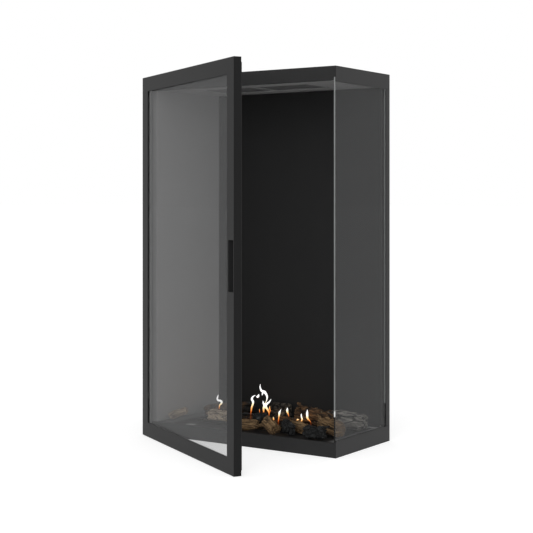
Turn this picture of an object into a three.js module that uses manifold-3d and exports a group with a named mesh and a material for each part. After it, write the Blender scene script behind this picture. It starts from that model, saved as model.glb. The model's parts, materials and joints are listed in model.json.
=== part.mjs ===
// Corner gas fireplace, glazed at the front and at the right side, with a hinged glass door at the front.
// Units are millimetres. The origin is the centre of the body's base, +X is the glazed side,
// +Y is the wall behind and +Z is up. The door stands 30 degrees open.

import * as THREE from "three";
import { mergeVertices } from "three/addons/utils/BufferGeometryUtils.js";
import Module from "manifold-3d";

const wasm = await Module();
wasm.setup();

// Driving dimensions of the body
const bodyWidth = 610;
const bodyDepth = 288;
const bodyHeight = 1000;
const sheet = 1.5; // folded sheet of rails, posts, panels and liners
const plate = 2; // flat plates
const fitGap = 0.3; // left between two pieces that touch
const past = 1; // how far a cutting shape runs past the face it cuts
const paneThickness = 4; // ceramic glass

const bottomFrontRailTop = 38;
const bottomRightRailTop = 42.8;
const topFrontRailBottom = 963;
const topRightRailBottom = 959.5;
const rimFlange = 20; // flat rim round the top
const frontFlange = 10; // flange behind the bottom front rail
const legInset = 20; // a hidden leg stands this far behind the front
const postWidth = 29; // front left post
const rearPostSize = 20; // rear right post

const firebox = {
  floor: 36.5,
  ceiling: 964.8,
  back: 124,
  leftAtFront: -275.7, // outer face of the splayed left liner
  leftAtBack: -256.8,
  right: 297,
};
const sidePaneTop = 971;
const topPlateLevel = 984;
const flueCentre = { x: -7.5, y: 2.5 };
const exhaustRadius = 50;
const intakeRadius = 75;
const tray = { low: [-200, -78], high: [210, 58], bottom: 10, rim: 8 }; // burner tray in the floor
const burner = { y: -10, z: 22, radius: 7 };
const gasLine = { x: -250, z: 22 };
const pilot = { x: -80, y: -42, base: 44.6 };
const sillX = 291; // inner edge of the ledge under the side pane
const ductHalf = 60; // half the width of the air duct behind the firebox

// Driving dimensions of the door
const doorOpenAngle = 30; // degrees
const doorGap = 2; // between the closed door and the body
const doorThickness = 20;
const doorFace = 40; // width of the frame seen from the front
const doorLowest = 1;
const doorHighest = 999;
const doorReturn = 20; // folded back edge of the frame
const hingeInset = 3.5; // hinge line, in from the door's side and from its back
const hingeHeights = { lower: 130, upper: 870 };
const knuckleLength = 29.5;
const knuckleRadius = 3.2;
const pinRadius = 1.5;
const roundSides = 24; // facets of small turned parts
const collarSides = 64; // facets of the flue collars

// Planes worked out from the driving dimensions
const left = -bodyWidth / 2;
const right = bodyWidth / 2;
const front = -bodyDepth / 2;
const back = bodyDepth / 2;
const innerLeft = left + sheet + fitGap;
const innerRight = right - sheet - fitGap;
const innerFront = front + sheet + fitGap;
const innerBack = back - sheet - fitGap;
const paneOuter = innerRight;
const paneInner = paneOuter - paneThickness;
const paneRear = back - rearPostSize - fitGap;
const paneLip = paneInner - 3.7; // inner face of the folded lips that hold the side pane
const doorRear = front - doorGap;
const doorFront = doorRear - doorThickness;
const pull = { from: right - 32, to: right - 3, low: 438, high: 562, wall: 1.1 }; // recess in the free stile
const doorPane = {
  left: left + 26,
  right: right - 34.5,
  low: doorLowest + 28,
  high: doorHighest - 28,
  front: doorFront + 2 * sheet,
};
const hingeX = left + hingeInset;
const hingeY = doorRear - hingeInset;

function finish(color, metalness, roughness) {
  return new THREE.MeshStandardMaterial({ color, metalness, roughness });
}

const blackPaint = finish(0x2b2b2c, 0.2, 0.55);
const innerPaint = finish(0x222223, 0.2, 0.6);
const linerPaint = finish(0x6f6f6f, 0.2, 0.6);
const bareSteel = finish(0x8c8f92, 0.9, 0.4);
const brass = finish(0xb08d45, 0.9, 0.35);
const copper = finish(0xa8673f, 0.9, 0.4);
const fibre = finish(0x38383a, 0, 0.95);
const board = finish(0xb9b4a6, 0, 0.95);
const porcelain = finish(0xe9e6dd, 0, 0.3);
const magnetSteel = finish(0x55585c, 0.8, 0.45);
const splitWood = finish(0x8a6f4d, 0, 0.9);
const bark = finish(0x5a4334, 0, 0.95);
const charred = finish(0x2c3033, 0, 0.95);
const embers = finish(0x3a2f2a, 0, 1);
const paneGlass = new THREE.MeshStandardMaterial({
  color: 0x9fa3a3,
  roughness: 0.05,
  transparent: true,
  opacity: 0.3,
});

const fireplace = new THREE.Group();
const doorPieces = new THREE.Group();

function addTo(group, name, geometry, material) {
  const mesh = new THREE.Mesh(geometry, material);
  mesh.name = name;
  group.add(mesh);
}

function addBody(name, geometry, material) {
  addTo(fireplace, name, geometry, material);
}

function addDoor(name, geometry, material) {
  addTo(doorPieces, name, geometry, material);
}

// A box from its lowest corner to its highest one
function block(low, high) {
  const size = high.map((value, axis) => value - low[axis]);
  const centre = high.map((value, axis) => (value + low[axis]) / 2);
  return new THREE.BoxGeometry(...size).translate(...centre);
}

// A round bar along Z between two levels
function bar(radius, low, high, sides = roundSides) {
  const upright = new THREE.CylinderGeometry(radius, radius, high - low, sides);
  return upright.rotateX(Math.PI / 2).translate(0, 0, (low + high) / 2);
}

// A turned shape about Z, from the points of half its section: [radius, level], anticlockwise
function turned(points, sides = roundSides) {
  const profile = points.map(([radius, level]) => new THREE.Vector2(radius, level));
  return new THREE.LatheGeometry([...profile, profile[0]], sides).rotateX(Math.PI / 2);
}

// An upright prism over an outline of [x, y] points
function prism(outline, low, high) {
  const shape = new THREE.Shape(outline.map(([x, y]) => new THREE.Vector2(x, y)));
  const settings = { depth: high - low, bevelEnabled: false };
  return new THREE.ExtrudeGeometry(shape, settings).translate(0, 0, low);
}

function solidOf(geometry) {
  const bare = geometry.clone();
  bare.deleteAttribute("normal");
  bare.deleteAttribute("uv");
  const merged = mergeVertices(bare);
  return new wasm.Manifold(
    new wasm.Mesh({
      numProp: 3,
      vertProperties: new Float32Array(merged.attributes.position.array),
      triVerts: new Uint32Array(merged.index.array),
    }),
  );
}

function geometryOf(solid) {
  const mesh = solid.getMesh();
  const geometry = new THREE.BufferGeometry();
  geometry.setAttribute("position", new THREE.BufferAttribute(mesh.vertProperties, 3));
  geometry.setIndex(new THREE.BufferAttribute(mesh.triVerts, 1));
  return geometry;
}

function joined(...geometries) {
  const solids = geometries.map(solidOf);
  return geometryOf(solids.reduce((sum, next) => sum.add(next)));
}

function cut(geometry, ...tools) {
  const removed = tools.map(solidOf);
  return geometryOf(removed.reduce((rest, tool) => rest.subtract(tool), solidOf(geometry)));
}

// Bottom frame: the base plate and two skirt rails

function bottomFrame() {
  const foot = 14;
  const footLow = plate + fitGap;
  const footHigh = footLow + sheet;

  addBody("base_plate", block([innerLeft, innerFront, 0], [innerRight, innerBack, plate]), blackPaint);

  const frontRail = joined(
    block([left, front, 0], [innerRight, front + sheet, bottomFrontRailTop]),
    block(
      [innerLeft, front, bottomFrontRailTop - sheet],
      [innerRight, front + frontFlange, bottomFrontRailTop],
    ),
    block([innerLeft, front, footLow], [innerRight, front + foot, footHigh]),
  );
  addBody("bottom_front_rail", frontRail, blackPaint);

  const rightRail = joined(
    block([right - sheet, front, 0], [right, innerBack, bottomRightRailTop]),
    block([right - foot, front + foot + fitGap, footLow], [right, innerBack, footHigh]),
  );
  addBody("bottom_right_rail", rightRail, blackPaint);
}

// Posts, closed sides and the rim rails at the top

function casing() {
  const slotHalf = 2; // the slot in the post for the fixed leaf of a hinge
  const hingeSlot = (height) =>
    block(
      [hingeX - slotHalf, front - sheet, height - knuckleLength - past],
      [hingeX + slotHalf, front + 2 * sheet, height + fitGap],
    );
  const postLow = bottomFrontRailTop + fitGap;
  const postHigh = topFrontRailBottom - fitGap;
  const post = joined(
    block([left, front, postLow], [left + postWidth, front + sheet, postHigh]),
    block([left + postWidth - sheet, front, postLow], [left + postWidth, front + rimFlange, postHigh]),
  );
  const slots = Object.values(hingeHeights).map(hingeSlot);
  addBody("front_left_post", cut(post, ...slots), blackPaint);

  const rearLow = bottomRightRailTop + fitGap;
  const rearHigh = topRightRailBottom - fitGap;
  const rearX = right - rearPostSize;
  const rearY = back - rearPostSize;
  const lipReach = 12; // how far the post's lip laps the side pane
  const rearPost = joined(
    block([rearX, rearY, rearLow], [right, rearY + sheet, rearHigh]),
    block([rearX, rearY, rearLow], [rearX + sheet, innerBack, rearHigh]),
    block([right - sheet, rearY, rearLow], [right, innerBack, rearHigh]),
    block([paneLip, rearY - lipReach, rearLow], [paneLip + sheet, rearY, rearHigh]),
  );
  addBody("rear_right_post", rearPost, blackPaint);

  const rimLow = bodyHeight - sheet;
  const sideRimFrom = front + rimFlange + fitGap;
  const sideRimTo = back - rimFlange - fitGap;
  const leftPanel = joined(
    block([left, innerFront, 0], [left + sheet, innerBack, bodyHeight]),
    block([left, sideRimFrom, rimLow], [left + rimFlange, sideRimTo, bodyHeight]),
  );
  addBody("outer_left_panel", leftPanel, blackPaint);

  const gasHoleRadius = 8.5;
  const gasHole = bar(gasHoleRadius, back - 2 * sheet, back + past)
    .rotateX(-Math.PI / 2)
    .translate(gasLine.x, 0, gasLine.z);
  const backPanel = joined(
    block([left, back - sheet, 0], [right, back, bodyHeight]),
    block([innerLeft, back - rimFlange, rimLow], [innerRight, back, bodyHeight]),
  );
  addBody("outer_back_panel", cut(backPanel, gasHole), blackPaint);

  const ledge = { from: firebox.leftAtFront + 5, to: firebox.right - 10, depth: 8 }; // under the ceiling
  const frontWebEnd = paneInner - fitGap;
  const frontRail = joined(
    block([left, front, topFrontRailBottom], [frontWebEnd, front + sheet, bodyHeight]),
    block([left, front, sidePaneTop + fitGap], [innerRight, front + sheet, bodyHeight]),
    block([innerLeft, front, rimLow], [innerRight, front + rimFlange, bodyHeight]),
    block(
      [ledge.from, front, topFrontRailBottom],
      [ledge.to, front + ledge.depth, topFrontRailBottom + sheet],
    ),
  );
  addBody("top_front_rail", frontRail, blackPaint);

  const rightRail = joined(
    block([right - sheet, front, topRightRailBottom], [right, innerBack, bodyHeight]),
    block([right - rimFlange, sideRimFrom, rimLow], [right, sideRimTo, bodyHeight]),
  );
  addBody("top_right_rail", rightRail, blackPaint);
}

// Firebox: floor, liners, insulation behind them and the air duct

function fireboxShell() {
  const floorLow = firebox.floor - plate;
  const floorRight = sillX - fitGap;
  const rearEdge = firebox.back + 2 * sheet;
  const legFront = front + legInset;
  const legLow = plate + fitGap;
  const floor = joined(
    block([innerLeft, front + frontFlange + fitGap, floorLow], [floorRight, rearEdge, firebox.floor]),
    block([innerLeft, legFront, legLow], [innerLeft + sheet, rearEdge, firebox.floor]),
    block([floorRight - sheet, legFront, legLow + sheet + fitGap], [floorRight, rearEdge, firebox.floor]),
  );
  const trayGap = 1; // between the tray and the edge of its hole
  const burnerHole = block(
    [tray.low[0] - trayGap, tray.low[1] - trayGap, floorLow - past],
    [tray.high[0] + trayGap, tray.high[1] + trayGap, firebox.floor + past],
  );
  addBody("floor_plate", cut(floor, burnerHole), linerPaint);

  const linerLow = bottomFrontRailTop + fitGap;
  const linerHigh = firebox.ceiling - fitGap;
  const linerFront = innerFront;
  const linerBack = firebox.back - fitGap;
  const leftOutline = [
    [firebox.leftAtFront, linerFront],
    [firebox.leftAtFront + sheet, linerFront],
    [firebox.leftAtBack + sheet, linerBack],
    [firebox.leftAtBack, linerBack],
  ];
  addBody("left_liner", prism(leftOutline, linerLow, linerHigh), linerPaint);

  const linerRight = right - rearPostSize - fitGap;
  const backLiner = block(
    [firebox.leftAtBack, firebox.back, linerLow],
    [linerRight, firebox.back + sheet, linerHigh],
  );
  addBody("back_liner", backLiner, innerPaint);

  const boardLow = 40;
  const boardHigh = 960;
  const boardFront = front + rimFlange + 6;
  const splay = (firebox.leftAtBack - firebox.leftAtFront) / (linerBack - linerFront);
  const linerAt = (y) => firebox.leftAtFront + splay * (y - linerFront) - fitGap;
  const wedge = [
    [innerLeft, boardFront],
    [linerAt(boardFront), boardFront],
    [linerAt(linerBack), linerBack],
    [innerLeft, linerBack],
  ];
  addBody("left_insulation", prism(wedge, boardLow, boardHigh), board);

  const boardY = [firebox.back + sheet + fitGap, innerBack];
  const ductY = [boardY[0] + 2 * sheet, boardY[1]];
  const backBoard = block([innerLeft, boardY[0], boardLow], [linerRight, boardY[1], boardHigh]);
  const groove = block(
    [-ductHalf - fitGap, ductY[0] - fitGap, 0],
    [ductHalf + fitGap, boardY[1] + past, bodyHeight],
  );
  addBody("back_insulation", cut(backBoard, groove), board);

  const ductWall = 1.2;
  const [ductLow, ductHigh] = [30, 975];
  const duct = cut(
    block([-ductHalf, ductY[0], ductLow], [ductHalf, ductY[1], ductHigh]),
    block(
      [-ductHalf + ductWall, ductY[0] + ductWall, ductLow - past],
      [ductHalf - ductWall, ductY[1] - ductWall, ductHigh + past],
    ),
  );
  addBody("air_duct", duct, bareSteel);
}

// Ceiling with its loose baffle plates, the flue box and the two flue collars

function ceilingAndFlue() {
  const low = firebox.ceiling;
  const high = low + plate;
  const openings = [
    { name: "baffle_left", from: -180, to: -15 },
    { name: "baffle_right", from: 0, to: 165 },
  ];
  const openingY = [-65, 70];
  const holes = openings.map(({ from, to }) =>
    block([from, openingY[0], low - past], [to, openingY[1], high + past]),
  );
  const lipDrop = 5; // lip that holds the head of the side pane
  const ceiling = joined(
    block([innerLeft, innerFront, low], [paneLip + sheet, firebox.back + plate + sheet, high]),
    block([paneLip, innerFront + rimFlange, low - lipDrop], [paneLip + sheet, paneRear, high]),
  );
  addBody("ceiling_plate", cut(ceiling, ...holes), linerPaint);

  const baffleLow = high + fitGap;
  const rest = 6; // how far a baffle reaches over the edge of its opening
  const slot = 10; // gas way left in front of a baffle and behind it
  for (const { name, from, to } of openings) {
    const baffle = block(
      [from - rest, openingY[0] + slot, baffleLow],
      [to + rest, openingY[1] - slot, baffleLow + plate],
    );
    addBody(name, baffle, innerPaint);
  }

  const boxHeight = 11.5;
  const boxMargin = 12; // the flue box laps the openings by this much
  const boxTop = baffleLow + boxHeight;
  const boxLow = [openings[0].from - boxMargin, openingY[0] - boxMargin, baffleLow];
  const boxHigh = [openings[1].to + boxMargin, openingY[1] + boxMargin, boxTop];
  const place = (geometry) => geometry.translate(flueCentre.x, flueCentre.y, 0);
  const portRadius = exhaustRadius - 4;
  const fluePort = place(bar(portRadius, boxTop - 2 * sheet, boxTop + past, collarSides));
  const flueBox = cut(
    block(boxLow, boxHigh),
    block(
      [boxLow[0] + sheet, boxLow[1] + sheet, baffleLow - past],
      [boxHigh[0] - sheet, boxHigh[1] - sheet, boxTop - sheet],
    ),
    fluePort,
  );
  addBody("flue_box", flueBox, bareSteel);

  const seat = boxTop + fitGap;
  const collarProfile = (radius, foot, level, lowest) => [
    [radius, lowest],
    [radius, level],
    [radius + foot, level],
    [radius + foot, level + sheet],
    [radius, level + sheet],
    [radius, bodyHeight],
    [radius - sheet, bodyHeight],
    [radius - sheet, lowest],
  ];
  const exhaustFoot = 12;
  const exhaustProfile = collarProfile(exhaustRadius, exhaustFoot, seat, seat).slice(1);
  addBody("exhaust_collar", place(turned(exhaustProfile, collarSides)), bareSteel);

  const intakeFoot = 15;
  const intakeSeat = topPlateLevel + plate + fitGap;
  const intakeProfile = collarProfile(intakeRadius, intakeFoot, intakeSeat, seat + 2 * sheet);
  addBody("intake_collar", place(turned(intakeProfile, collarSides)), bareSteel);

  const lipHeight = 10;
  const trayHigh = topPlateLevel + lipHeight;
  const topHoleRadius = intakeRadius + 1;
  const holeHigh = topPlateLevel + plate + past;
  const topHole = place(bar(topHoleRadius, topPlateLevel - past, holeHigh, collarSides));
  const topPlate = cut(
    block([innerLeft, innerFront, topPlateLevel], [innerRight, innerBack, trayHigh]),
    block(
      [innerLeft + sheet, innerFront + sheet, topPlateLevel + plate],
      [innerRight - sheet, innerBack - sheet, trayHigh + past],
    ),
    topHole,
  );
  addBody("top_plate", topPlate, blackPaint);
}

// Side pane with the sill under it and the seal inside it

function sideGlazing() {
  const from = front + frontFlange + fitGap;
  const legFrom = from + 5;
  const paneLow = bottomFrontRailTop + fitGap;
  addBody("side_glass", block([paneInner, front, paneLow], [paneOuter, paneRear, sidePaneTop]), paneGlass);

  const lipTop = bottomFrontRailTop + 4.5;
  const footLow = plate + sheet + 2 * fitGap;
  const sill = joined(
    block([sillX, from, bottomFrontRailTop - sheet], [paneOuter, paneRear, bottomFrontRailTop]),
    block([sillX, legFrom, footLow], [sillX + sheet, paneRear, bottomFrontRailTop]),
    block([sillX, legFrom, footLow], [paneOuter - plate, paneRear, footLow + sheet]),
    block([paneLip, from, bottomFrontRailTop - sheet], [paneLip + sheet, paneRear, lipTop]),
  );
  addBody("glass_sill", sill, innerPaint);

  const sealHigh = firebox.ceiling - fitGap;
  const seal = { inner: paneLip + sheet + fitGap, outer: paneInner - fitGap, width: 4, rearWidth: 6 };
  const sealProfile = cut(
    block([seal.inner, from, paneLow], [seal.outer, paneRear, sealHigh]),
    block(
      [seal.inner - past, from - past, paneLow + seal.width],
      [seal.outer + past, paneRear - seal.rearWidth, sealHigh - seal.width],
    ),
  );
  addBody("side_glass_seal", sealProfile, fibre);
}

// Gas parts in the tray under the logs, and the pilot

function alongX(geometry) {
  return geometry.rotateY(Math.PI / 2);
}

function gasParts() {
  const rimLow = firebox.floor + fitGap;
  const rimHigh = rimLow + sheet;
  const [x0, y0] = tray.low;
  const [x1, y1] = tray.high;
  const atBurner = (geometry) => geometry.translate(0, burner.y, burner.z);
  const holeRadius = 6.5; // for the injector, in the end wall of the tray
  const trayHole = atBurner(alongX(bar(holeRadius, x0 - past, x0 + sheet + past)));
  const outside = joined(
    block([x0, y0, tray.bottom], [x1, y1, rimHigh]),
    block([x0 - tray.rim, y0 - tray.rim, rimLow], [x1 + tray.rim, y1 + tray.rim, rimHigh]),
  );
  const inside = block(
    [x0 + sheet, y0 + sheet, tray.bottom + sheet],
    [x1 - sheet, y1 - sheet, rimHigh + past],
  );
  addBody("burner_tray", cut(outside, inside, trayHole), innerPaint);

  const tubeFrom = x0 + 14;
  const tubeTo = x1 - 10;
  const wall = 1.4;
  const port = { count: 14, spacing: 26, radius: 1.6, sides: 8 };
  const ports = Array.from({ length: port.count }, (_, index) => {
    const x = tubeFrom + (index + 1) * port.spacing;
    const drill = bar(port.radius, burner.z, burner.z + burner.radius + past, port.sides);
    return drill.translate(x, burner.y, 0);
  });
  const tubeBody = atBurner(alongX(bar(burner.radius, tubeFrom, tubeTo)));
  const tubeBore = atBurner(alongX(bar(burner.radius - wall, tubeFrom - past, tubeTo - wall)));
  addBody("burner_tube", cut(tubeBody, tubeBore, ...ports), bareSteel);

  const injector = { rear: x0 - 16, stem: 4, nut: 9, thread: 6, tip: 3, front: x0 + 18 };
  const injectorProfile = [
    [0, injector.rear],
    [injector.stem, injector.rear],
    [injector.stem, injector.rear + 6],
    [injector.nut, injector.rear + 6],
    [injector.nut, x0 - fitGap],
    [injector.thread, x0 - fitGap],
    [injector.thread, injector.front - 6],
    [injector.tip, injector.front],
    [0, injector.front],
  ];
  addBody("gas_injector", atBurner(alongX(turned(injectorProfile))), brass);

  const bendRadius = 26;
  const pipe = { outer: 4, inner: 3, start: injector.rear - fitGap };
  const inletNut = { inner: 2.5, outer: 9, neck: 7, rear: innerBack - 18, lap: 2, sides: 12 };
  const route = new THREE.CurvePath();
  const corner = new THREE.Vector3(gasLine.x, burner.y, gasLine.z);
  const beforeBend = new THREE.Vector3(gasLine.x + bendRadius, burner.y, gasLine.z);
  const afterBend = new THREE.Vector3(gasLine.x, burner.y + bendRadius, gasLine.z);
  route.add(new THREE.LineCurve3(new THREE.Vector3(pipe.start, burner.y, gasLine.z), beforeBend));
  route.add(new THREE.QuadraticBezierCurve3(beforeBend, corner, afterBend));
  const pipeEnd = new THREE.Vector3(gasLine.x, inletNut.rear + inletNut.lap, gasLine.z);
  route.add(new THREE.LineCurve3(afterBend, pipeEnd));
  const pipeSection = new THREE.Shape().absarc(0, 0, pipe.outer, 0, 2 * Math.PI);
  pipeSection.holes.push(new THREE.Path().absarc(0, 0, pipe.inner, 0, 2 * Math.PI));
  const pipeSettings = { steps: 24, curveSegments: 4, extrudePath: route, bevelEnabled: false };
  const supplyPipe = new THREE.ExtrudeGeometry(pipeSection, pipeSettings);

  const nutProfile = [
    [inletNut.inner, inletNut.rear],
    [inletNut.outer, inletNut.rear],
    [inletNut.outer, innerBack],
    [inletNut.neck, innerBack],
    [inletNut.neck, back],
    [inletNut.inner, back],
  ];
  const nut = turned(nutProfile, inletNut.sides).rotateX(-Math.PI / 2).translate(gasLine.x, 0, gasLine.z);
  addBody("gas_supply_pipe", joined(supplyPipe, nut), copper);
}

function pilotParts() {
  const { x, y, base } = pilot;
  const spacing = 11; // from the hood to the electrode and to the thermocouple
  const foot = base - 9; // lowest level of the hood, the electrode and the thermocouple
  const probeSides = 16;
  const half = { width: 16, depth: 8 };
  const shelf = base - 6; // underside of the bracket
  const holeRadius = 3.2;
  const holeAt = (offset) => bar(holeRadius, shelf - past, shelf + sheet + past).translate(x + offset, y, 0);
  const bracket = cut(
    joined(
      block([x - half.width, y - half.depth, shelf], [x + half.width, y + half.depth, shelf + sheet]),
      block([x - half.width, y + half.depth - sheet, shelf], [x + half.width, y + half.depth, base + 6]),
    ),
    ...[-spacing, 0, spacing].map(holeAt),
  );
  addBody("pilot_bracket", bracket, bareSteel);

  const hood = { outer: 5, inner: 3.4, neck: 2.6, bore: 1.2, top: base + 9 };
  const hoodProfile = [
    [hood.neck, foot],
    [hood.neck, base - 4],
    [hood.outer, base - 4],
    [hood.outer, hood.top],
    [hood.inner, hood.top],
    [hood.inner, base - 1],
    [hood.bore, base - 1],
    [hood.bore, foot],
  ];
  const reach = hood.outer + past;
  const hoodSlot = block([-reach, -reach, base + 4], [reach, 0, base + 7]);
  addBody("pilot_hood", cut(turned(hoodProfile), hoodSlot).translate(x, y, 0), bareSteel);

  const electrode = { sleeve: 2.8, wire: 0.9, tip: base + 12 };
  const electrodeProfile = [
    [0, foot],
    [electrode.sleeve, foot],
    [electrode.sleeve, base + 5],
    [electrode.wire, base + 6],
    [electrode.wire, electrode.tip],
    [0, electrode.tip],
  ];
  const electrodeShape = turned(electrodeProfile, probeSides).translate(x - spacing, y, 0);
  addBody("spark_electrode", electrodeShape, porcelain);

  const probe = { nut: 2.8, tube: 1.8, shoulder: base + 11, tip: base + 12.5 };
  const probeProfile = [
    [0, foot],
    [probe.nut, foot],
    [probe.nut, base - 2],
    [probe.tube, base],
    [probe.tube, probe.shoulder],
    [0, probe.tip],
  ];
  addBody("thermocouple", turned(probeProfile, probeSides).translate(x + spacing, y, 0), copper);
}

// Ember bed: a shallow heap in the tray, uneven by a sum of waves

function emberBed() {
  const clearance = 1.5;
  const [x0, y0] = tray.low.map((value) => value + sheet + clearance);
  const [x1, y1] = tray.high.map((value) => value - sheet - clearance);
  const columns = 30;
  const rows = 10;
  const bedLow = 30.5;
  const bedTop = 39.6; // mean level of the heap
  const ripple = 0.65;
  const heap = new THREE.BoxGeometry(x1 - x0, y1 - y0, 1, columns, rows, 1);
  heap.translate((x0 + x1) / 2, (y0 + y1) / 2, 0);
  const points = heap.attributes.position;
  for (let index = 0; index < points.count; index += 1) {
    const x = points.getX(index);
    const y = points.getY(index);
    const waves = Math.sin(x * 0.21 + y * 0.13) + Math.sin(x * 0.083 - y * 0.29) + Math.sin(y * 0.19);
    points.setZ(index, points.getZ(index) > 0 ? bedTop + ripple * waves : bedLow);
  }
  const pocket = { width: 18, depth: 11 }; // half sizes of the hollow round the pilot
  const pilotPocket = block(
    [pilot.x - pocket.width, pilot.y - pocket.depth, bedLow - past],
    [pilot.x + pocket.width, pilot.y + pocket.depth, pilot.base + past],
  );
  addBody("ember_bed", cut(heap, pilotPocket), embers);
}

// Ceramic logs: an uneven bar with roughly square section between two points

function log({ start, end, width, height, phase }) {
  const stations = 9;
  const corners = 10;
  const endSize = 0.8; // of the full section, at both ends
  const squareness = 1.16;
  const from = new THREE.Vector3(...start);
  const to = new THREE.Vector3(...end);
  const along = to.clone().sub(from).normalize();
  const side = new THREE.Vector3(0, 0, 1).cross(along).normalize();
  const up = along.clone().cross(side);
  const positions = [];
  const faces = [];
  for (let station = 0; station < stations; station += 1) {
    const way = station / (stations - 1);
    const nearEnd = Math.min(way, 1 - way) * (stations - 1);
    const swell = (nearEnd < 0.5 ? endSize : 1) * (1 - 0.06 * Math.sin(5 * way + phase));
    for (let corner = 0; corner < corners; corner += 1) {
      const turn = (2 * Math.PI * corner) / corners;
      const square = 1 / Math.max(Math.abs(Math.cos(turn)), Math.abs(Math.sin(turn)));
      const rough = 0.9 + 0.1 * Math.sin(3 * turn + phase) * Math.cos(4 * way + 2 * phase);
      const reach = 0.5 * swell * rough * Math.min(square, squareness);
      const point = from.clone().lerp(to, way);
      point.addScaledVector(side, reach * width * Math.cos(turn));
      point.addScaledVector(up, reach * height * Math.sin(turn));
      positions.push(point.x, point.y, point.z);
    }
  }
  const ringOf = (station, corner) => station * corners + (corner % corners);
  for (let station = 0; station + 1 < stations; station += 1) {
    for (let corner = 0; corner < corners; corner += 1) {
      const a = ringOf(station, corner);
      const b = ringOf(station, corner + 1);
      const c = ringOf(station + 1, corner + 1);
      const d = ringOf(station + 1, corner);
      faces.push(a, b, c, a, c, d);
    }
  }
  for (let corner = 1; corner + 1 < corners; corner += 1) {
    faces.push(0, ringOf(0, corner + 1), ringOf(0, corner));
    const last = stations - 1;
    faces.push(ringOf(last, 0), ringOf(last, corner), ringOf(last, corner + 1));
  }
  const geometry = new THREE.BufferGeometry();
  geometry.setAttribute("position", new THREE.Float32BufferAttribute(positions, 3));
  geometry.setIndex(faces);
  return geometry;
}

function logFire() {
  const addLog = (name, material, start, end, [width, height], phase) => {
    addBody(name, log({ start, end, width, height, phase }), material);
  };
  addLog("log_right_rear", bark, [172, 42, 67], [286, 40, 64], [40, 45], 0.4);
  addLog("log_leaning", bark, [92, 14, 76], [222, -18, 65], [34, 44], 2.6);
  addLog("log_back_centre", charred, [-67, 88, 61], [14, 91, 62], [38, 46], 1.9);
  addLog("log_back_left", bark, [-205, -14, 57], [-104, 88, 67], [32, 32], 3.1);
  addLog("log_left_stick", splitWood, [-252, -113, 50], [-206, -99, 72], [22, 24], 0.9);
  addLog("log_left_block", splitWood, [-148, -66, 59], [-92, -62, 59], [32, 33], 2.2);
  addLog("log_front_left", splitWood, [-28, -122, 51], [42, -112, 56], [27, 27], 4.4);
  addLog("char_front_left", charred, [10, -74, 61], [46, -72, 64], [32, 37], 5.3);
  addLog("log_front_centre", splitWood, [62, -98, 67], [112, -127, 54], [33, 32], 1.2);
  addLog("char_front_centre", charred, [114, -89, 59], [158, -122, 53], [30, 30], 2.8);
  addLog("log_front_right", splitWood, [107, -52, 56], [186, -88, 53], [27, 28], 0.1);
  addLog("char_front_right", charred, [201, -121, 55], [257, -122, 55], [38, 34], 3.7);
  addLog("log_right", splitWood, [208, -60, 67], [282, -74, 58], [34, 40], 5.9);
}

// Hinges: a fixed leaf behind the post, a leaf in the door frame and a pin

function hinge(place, height) {
  const centre = (geometry) => geometry.translate(hingeX, hingeY, 0);
  const half = knuckleLength;
  const split = fitGap / 2;
  const leafReach = { fixed: 22, door: 12 };
  const bore = centre(bar(pinRadius + fitGap, height - half - past, height + half + past));
  const fixedLow = height - half;
  const fixedHigh = height - split;
  const leafY = front + sheet + fitGap;
  const fixedLeaf = cut(
    joined(
      centre(bar(knuckleRadius, fixedLow, fixedHigh)),
      block([hingeX - sheet, hingeY, fixedLow], [hingeX + sheet, leafY + sheet, fixedHigh]),
      block([hingeX - sheet, leafY, fixedLow], [hingeX + leafReach.fixed, leafY + sheet, fixedHigh]),
    ),
    bore,
  );
  addBody(`${place}_hinge_fixed_leaf`, fixedLeaf, bareSteel);
  const pin = centre(bar(pinRadius, fixedLow - past, height + half + past));
  addBody(`${place}_hinge_pin`, pin, bareSteel);

  const doorLow = height + split;
  const doorHigh = height + half;
  const returnInner = doorRear - sheet - fitGap;
  const doorLeaf = cut(
    joined(
      centre(bar(knuckleRadius, doorLow, doorHigh)),
      block([hingeX, returnInner - sheet, doorLow], [hingeX + leafReach.door, returnInner, doorHigh]),
    ),
    bore,
  );
  addDoor(`${place}_hinge_door_leaf`, doorLeaf, bareSteel);
}

// Door: a folded frame open to the inside, with the pane, its retainers and seals

function doorFrame() {
  const frameInset = (inset, y0, y1) =>
    block(
      [left + inset, y0, doorLowest + inset],
      [right - inset, y1, doorHighest - inset],
    );
  const notchSize = 7.7; // corner cut away round a hinge
  const notchHalf = knuckleLength + 2;
  const notch = (height) =>
    block(
      [left - past, doorRear - notchSize, height - notchHalf],
      [left + notchSize, doorRear + past, height + notchHalf],
    );
  const frame = cut(
    frameInset(0, doorFront, doorRear),
    frameInset(sheet, doorFront + sheet, doorRear - sheet),
    frameInset(doorFace, doorFront - past, doorFront + 2 * sheet),
    frameInset(doorReturn, doorRear - 2 * sheet, doorRear + past),
    block([pull.from, doorFront - past, pull.low], [pull.to, doorFront + 2 * sheet, pull.high]),
    ...Object.values(hingeHeights).map(notch),
  );
  addDoor("door_frame", frame, blackPaint);
}

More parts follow.
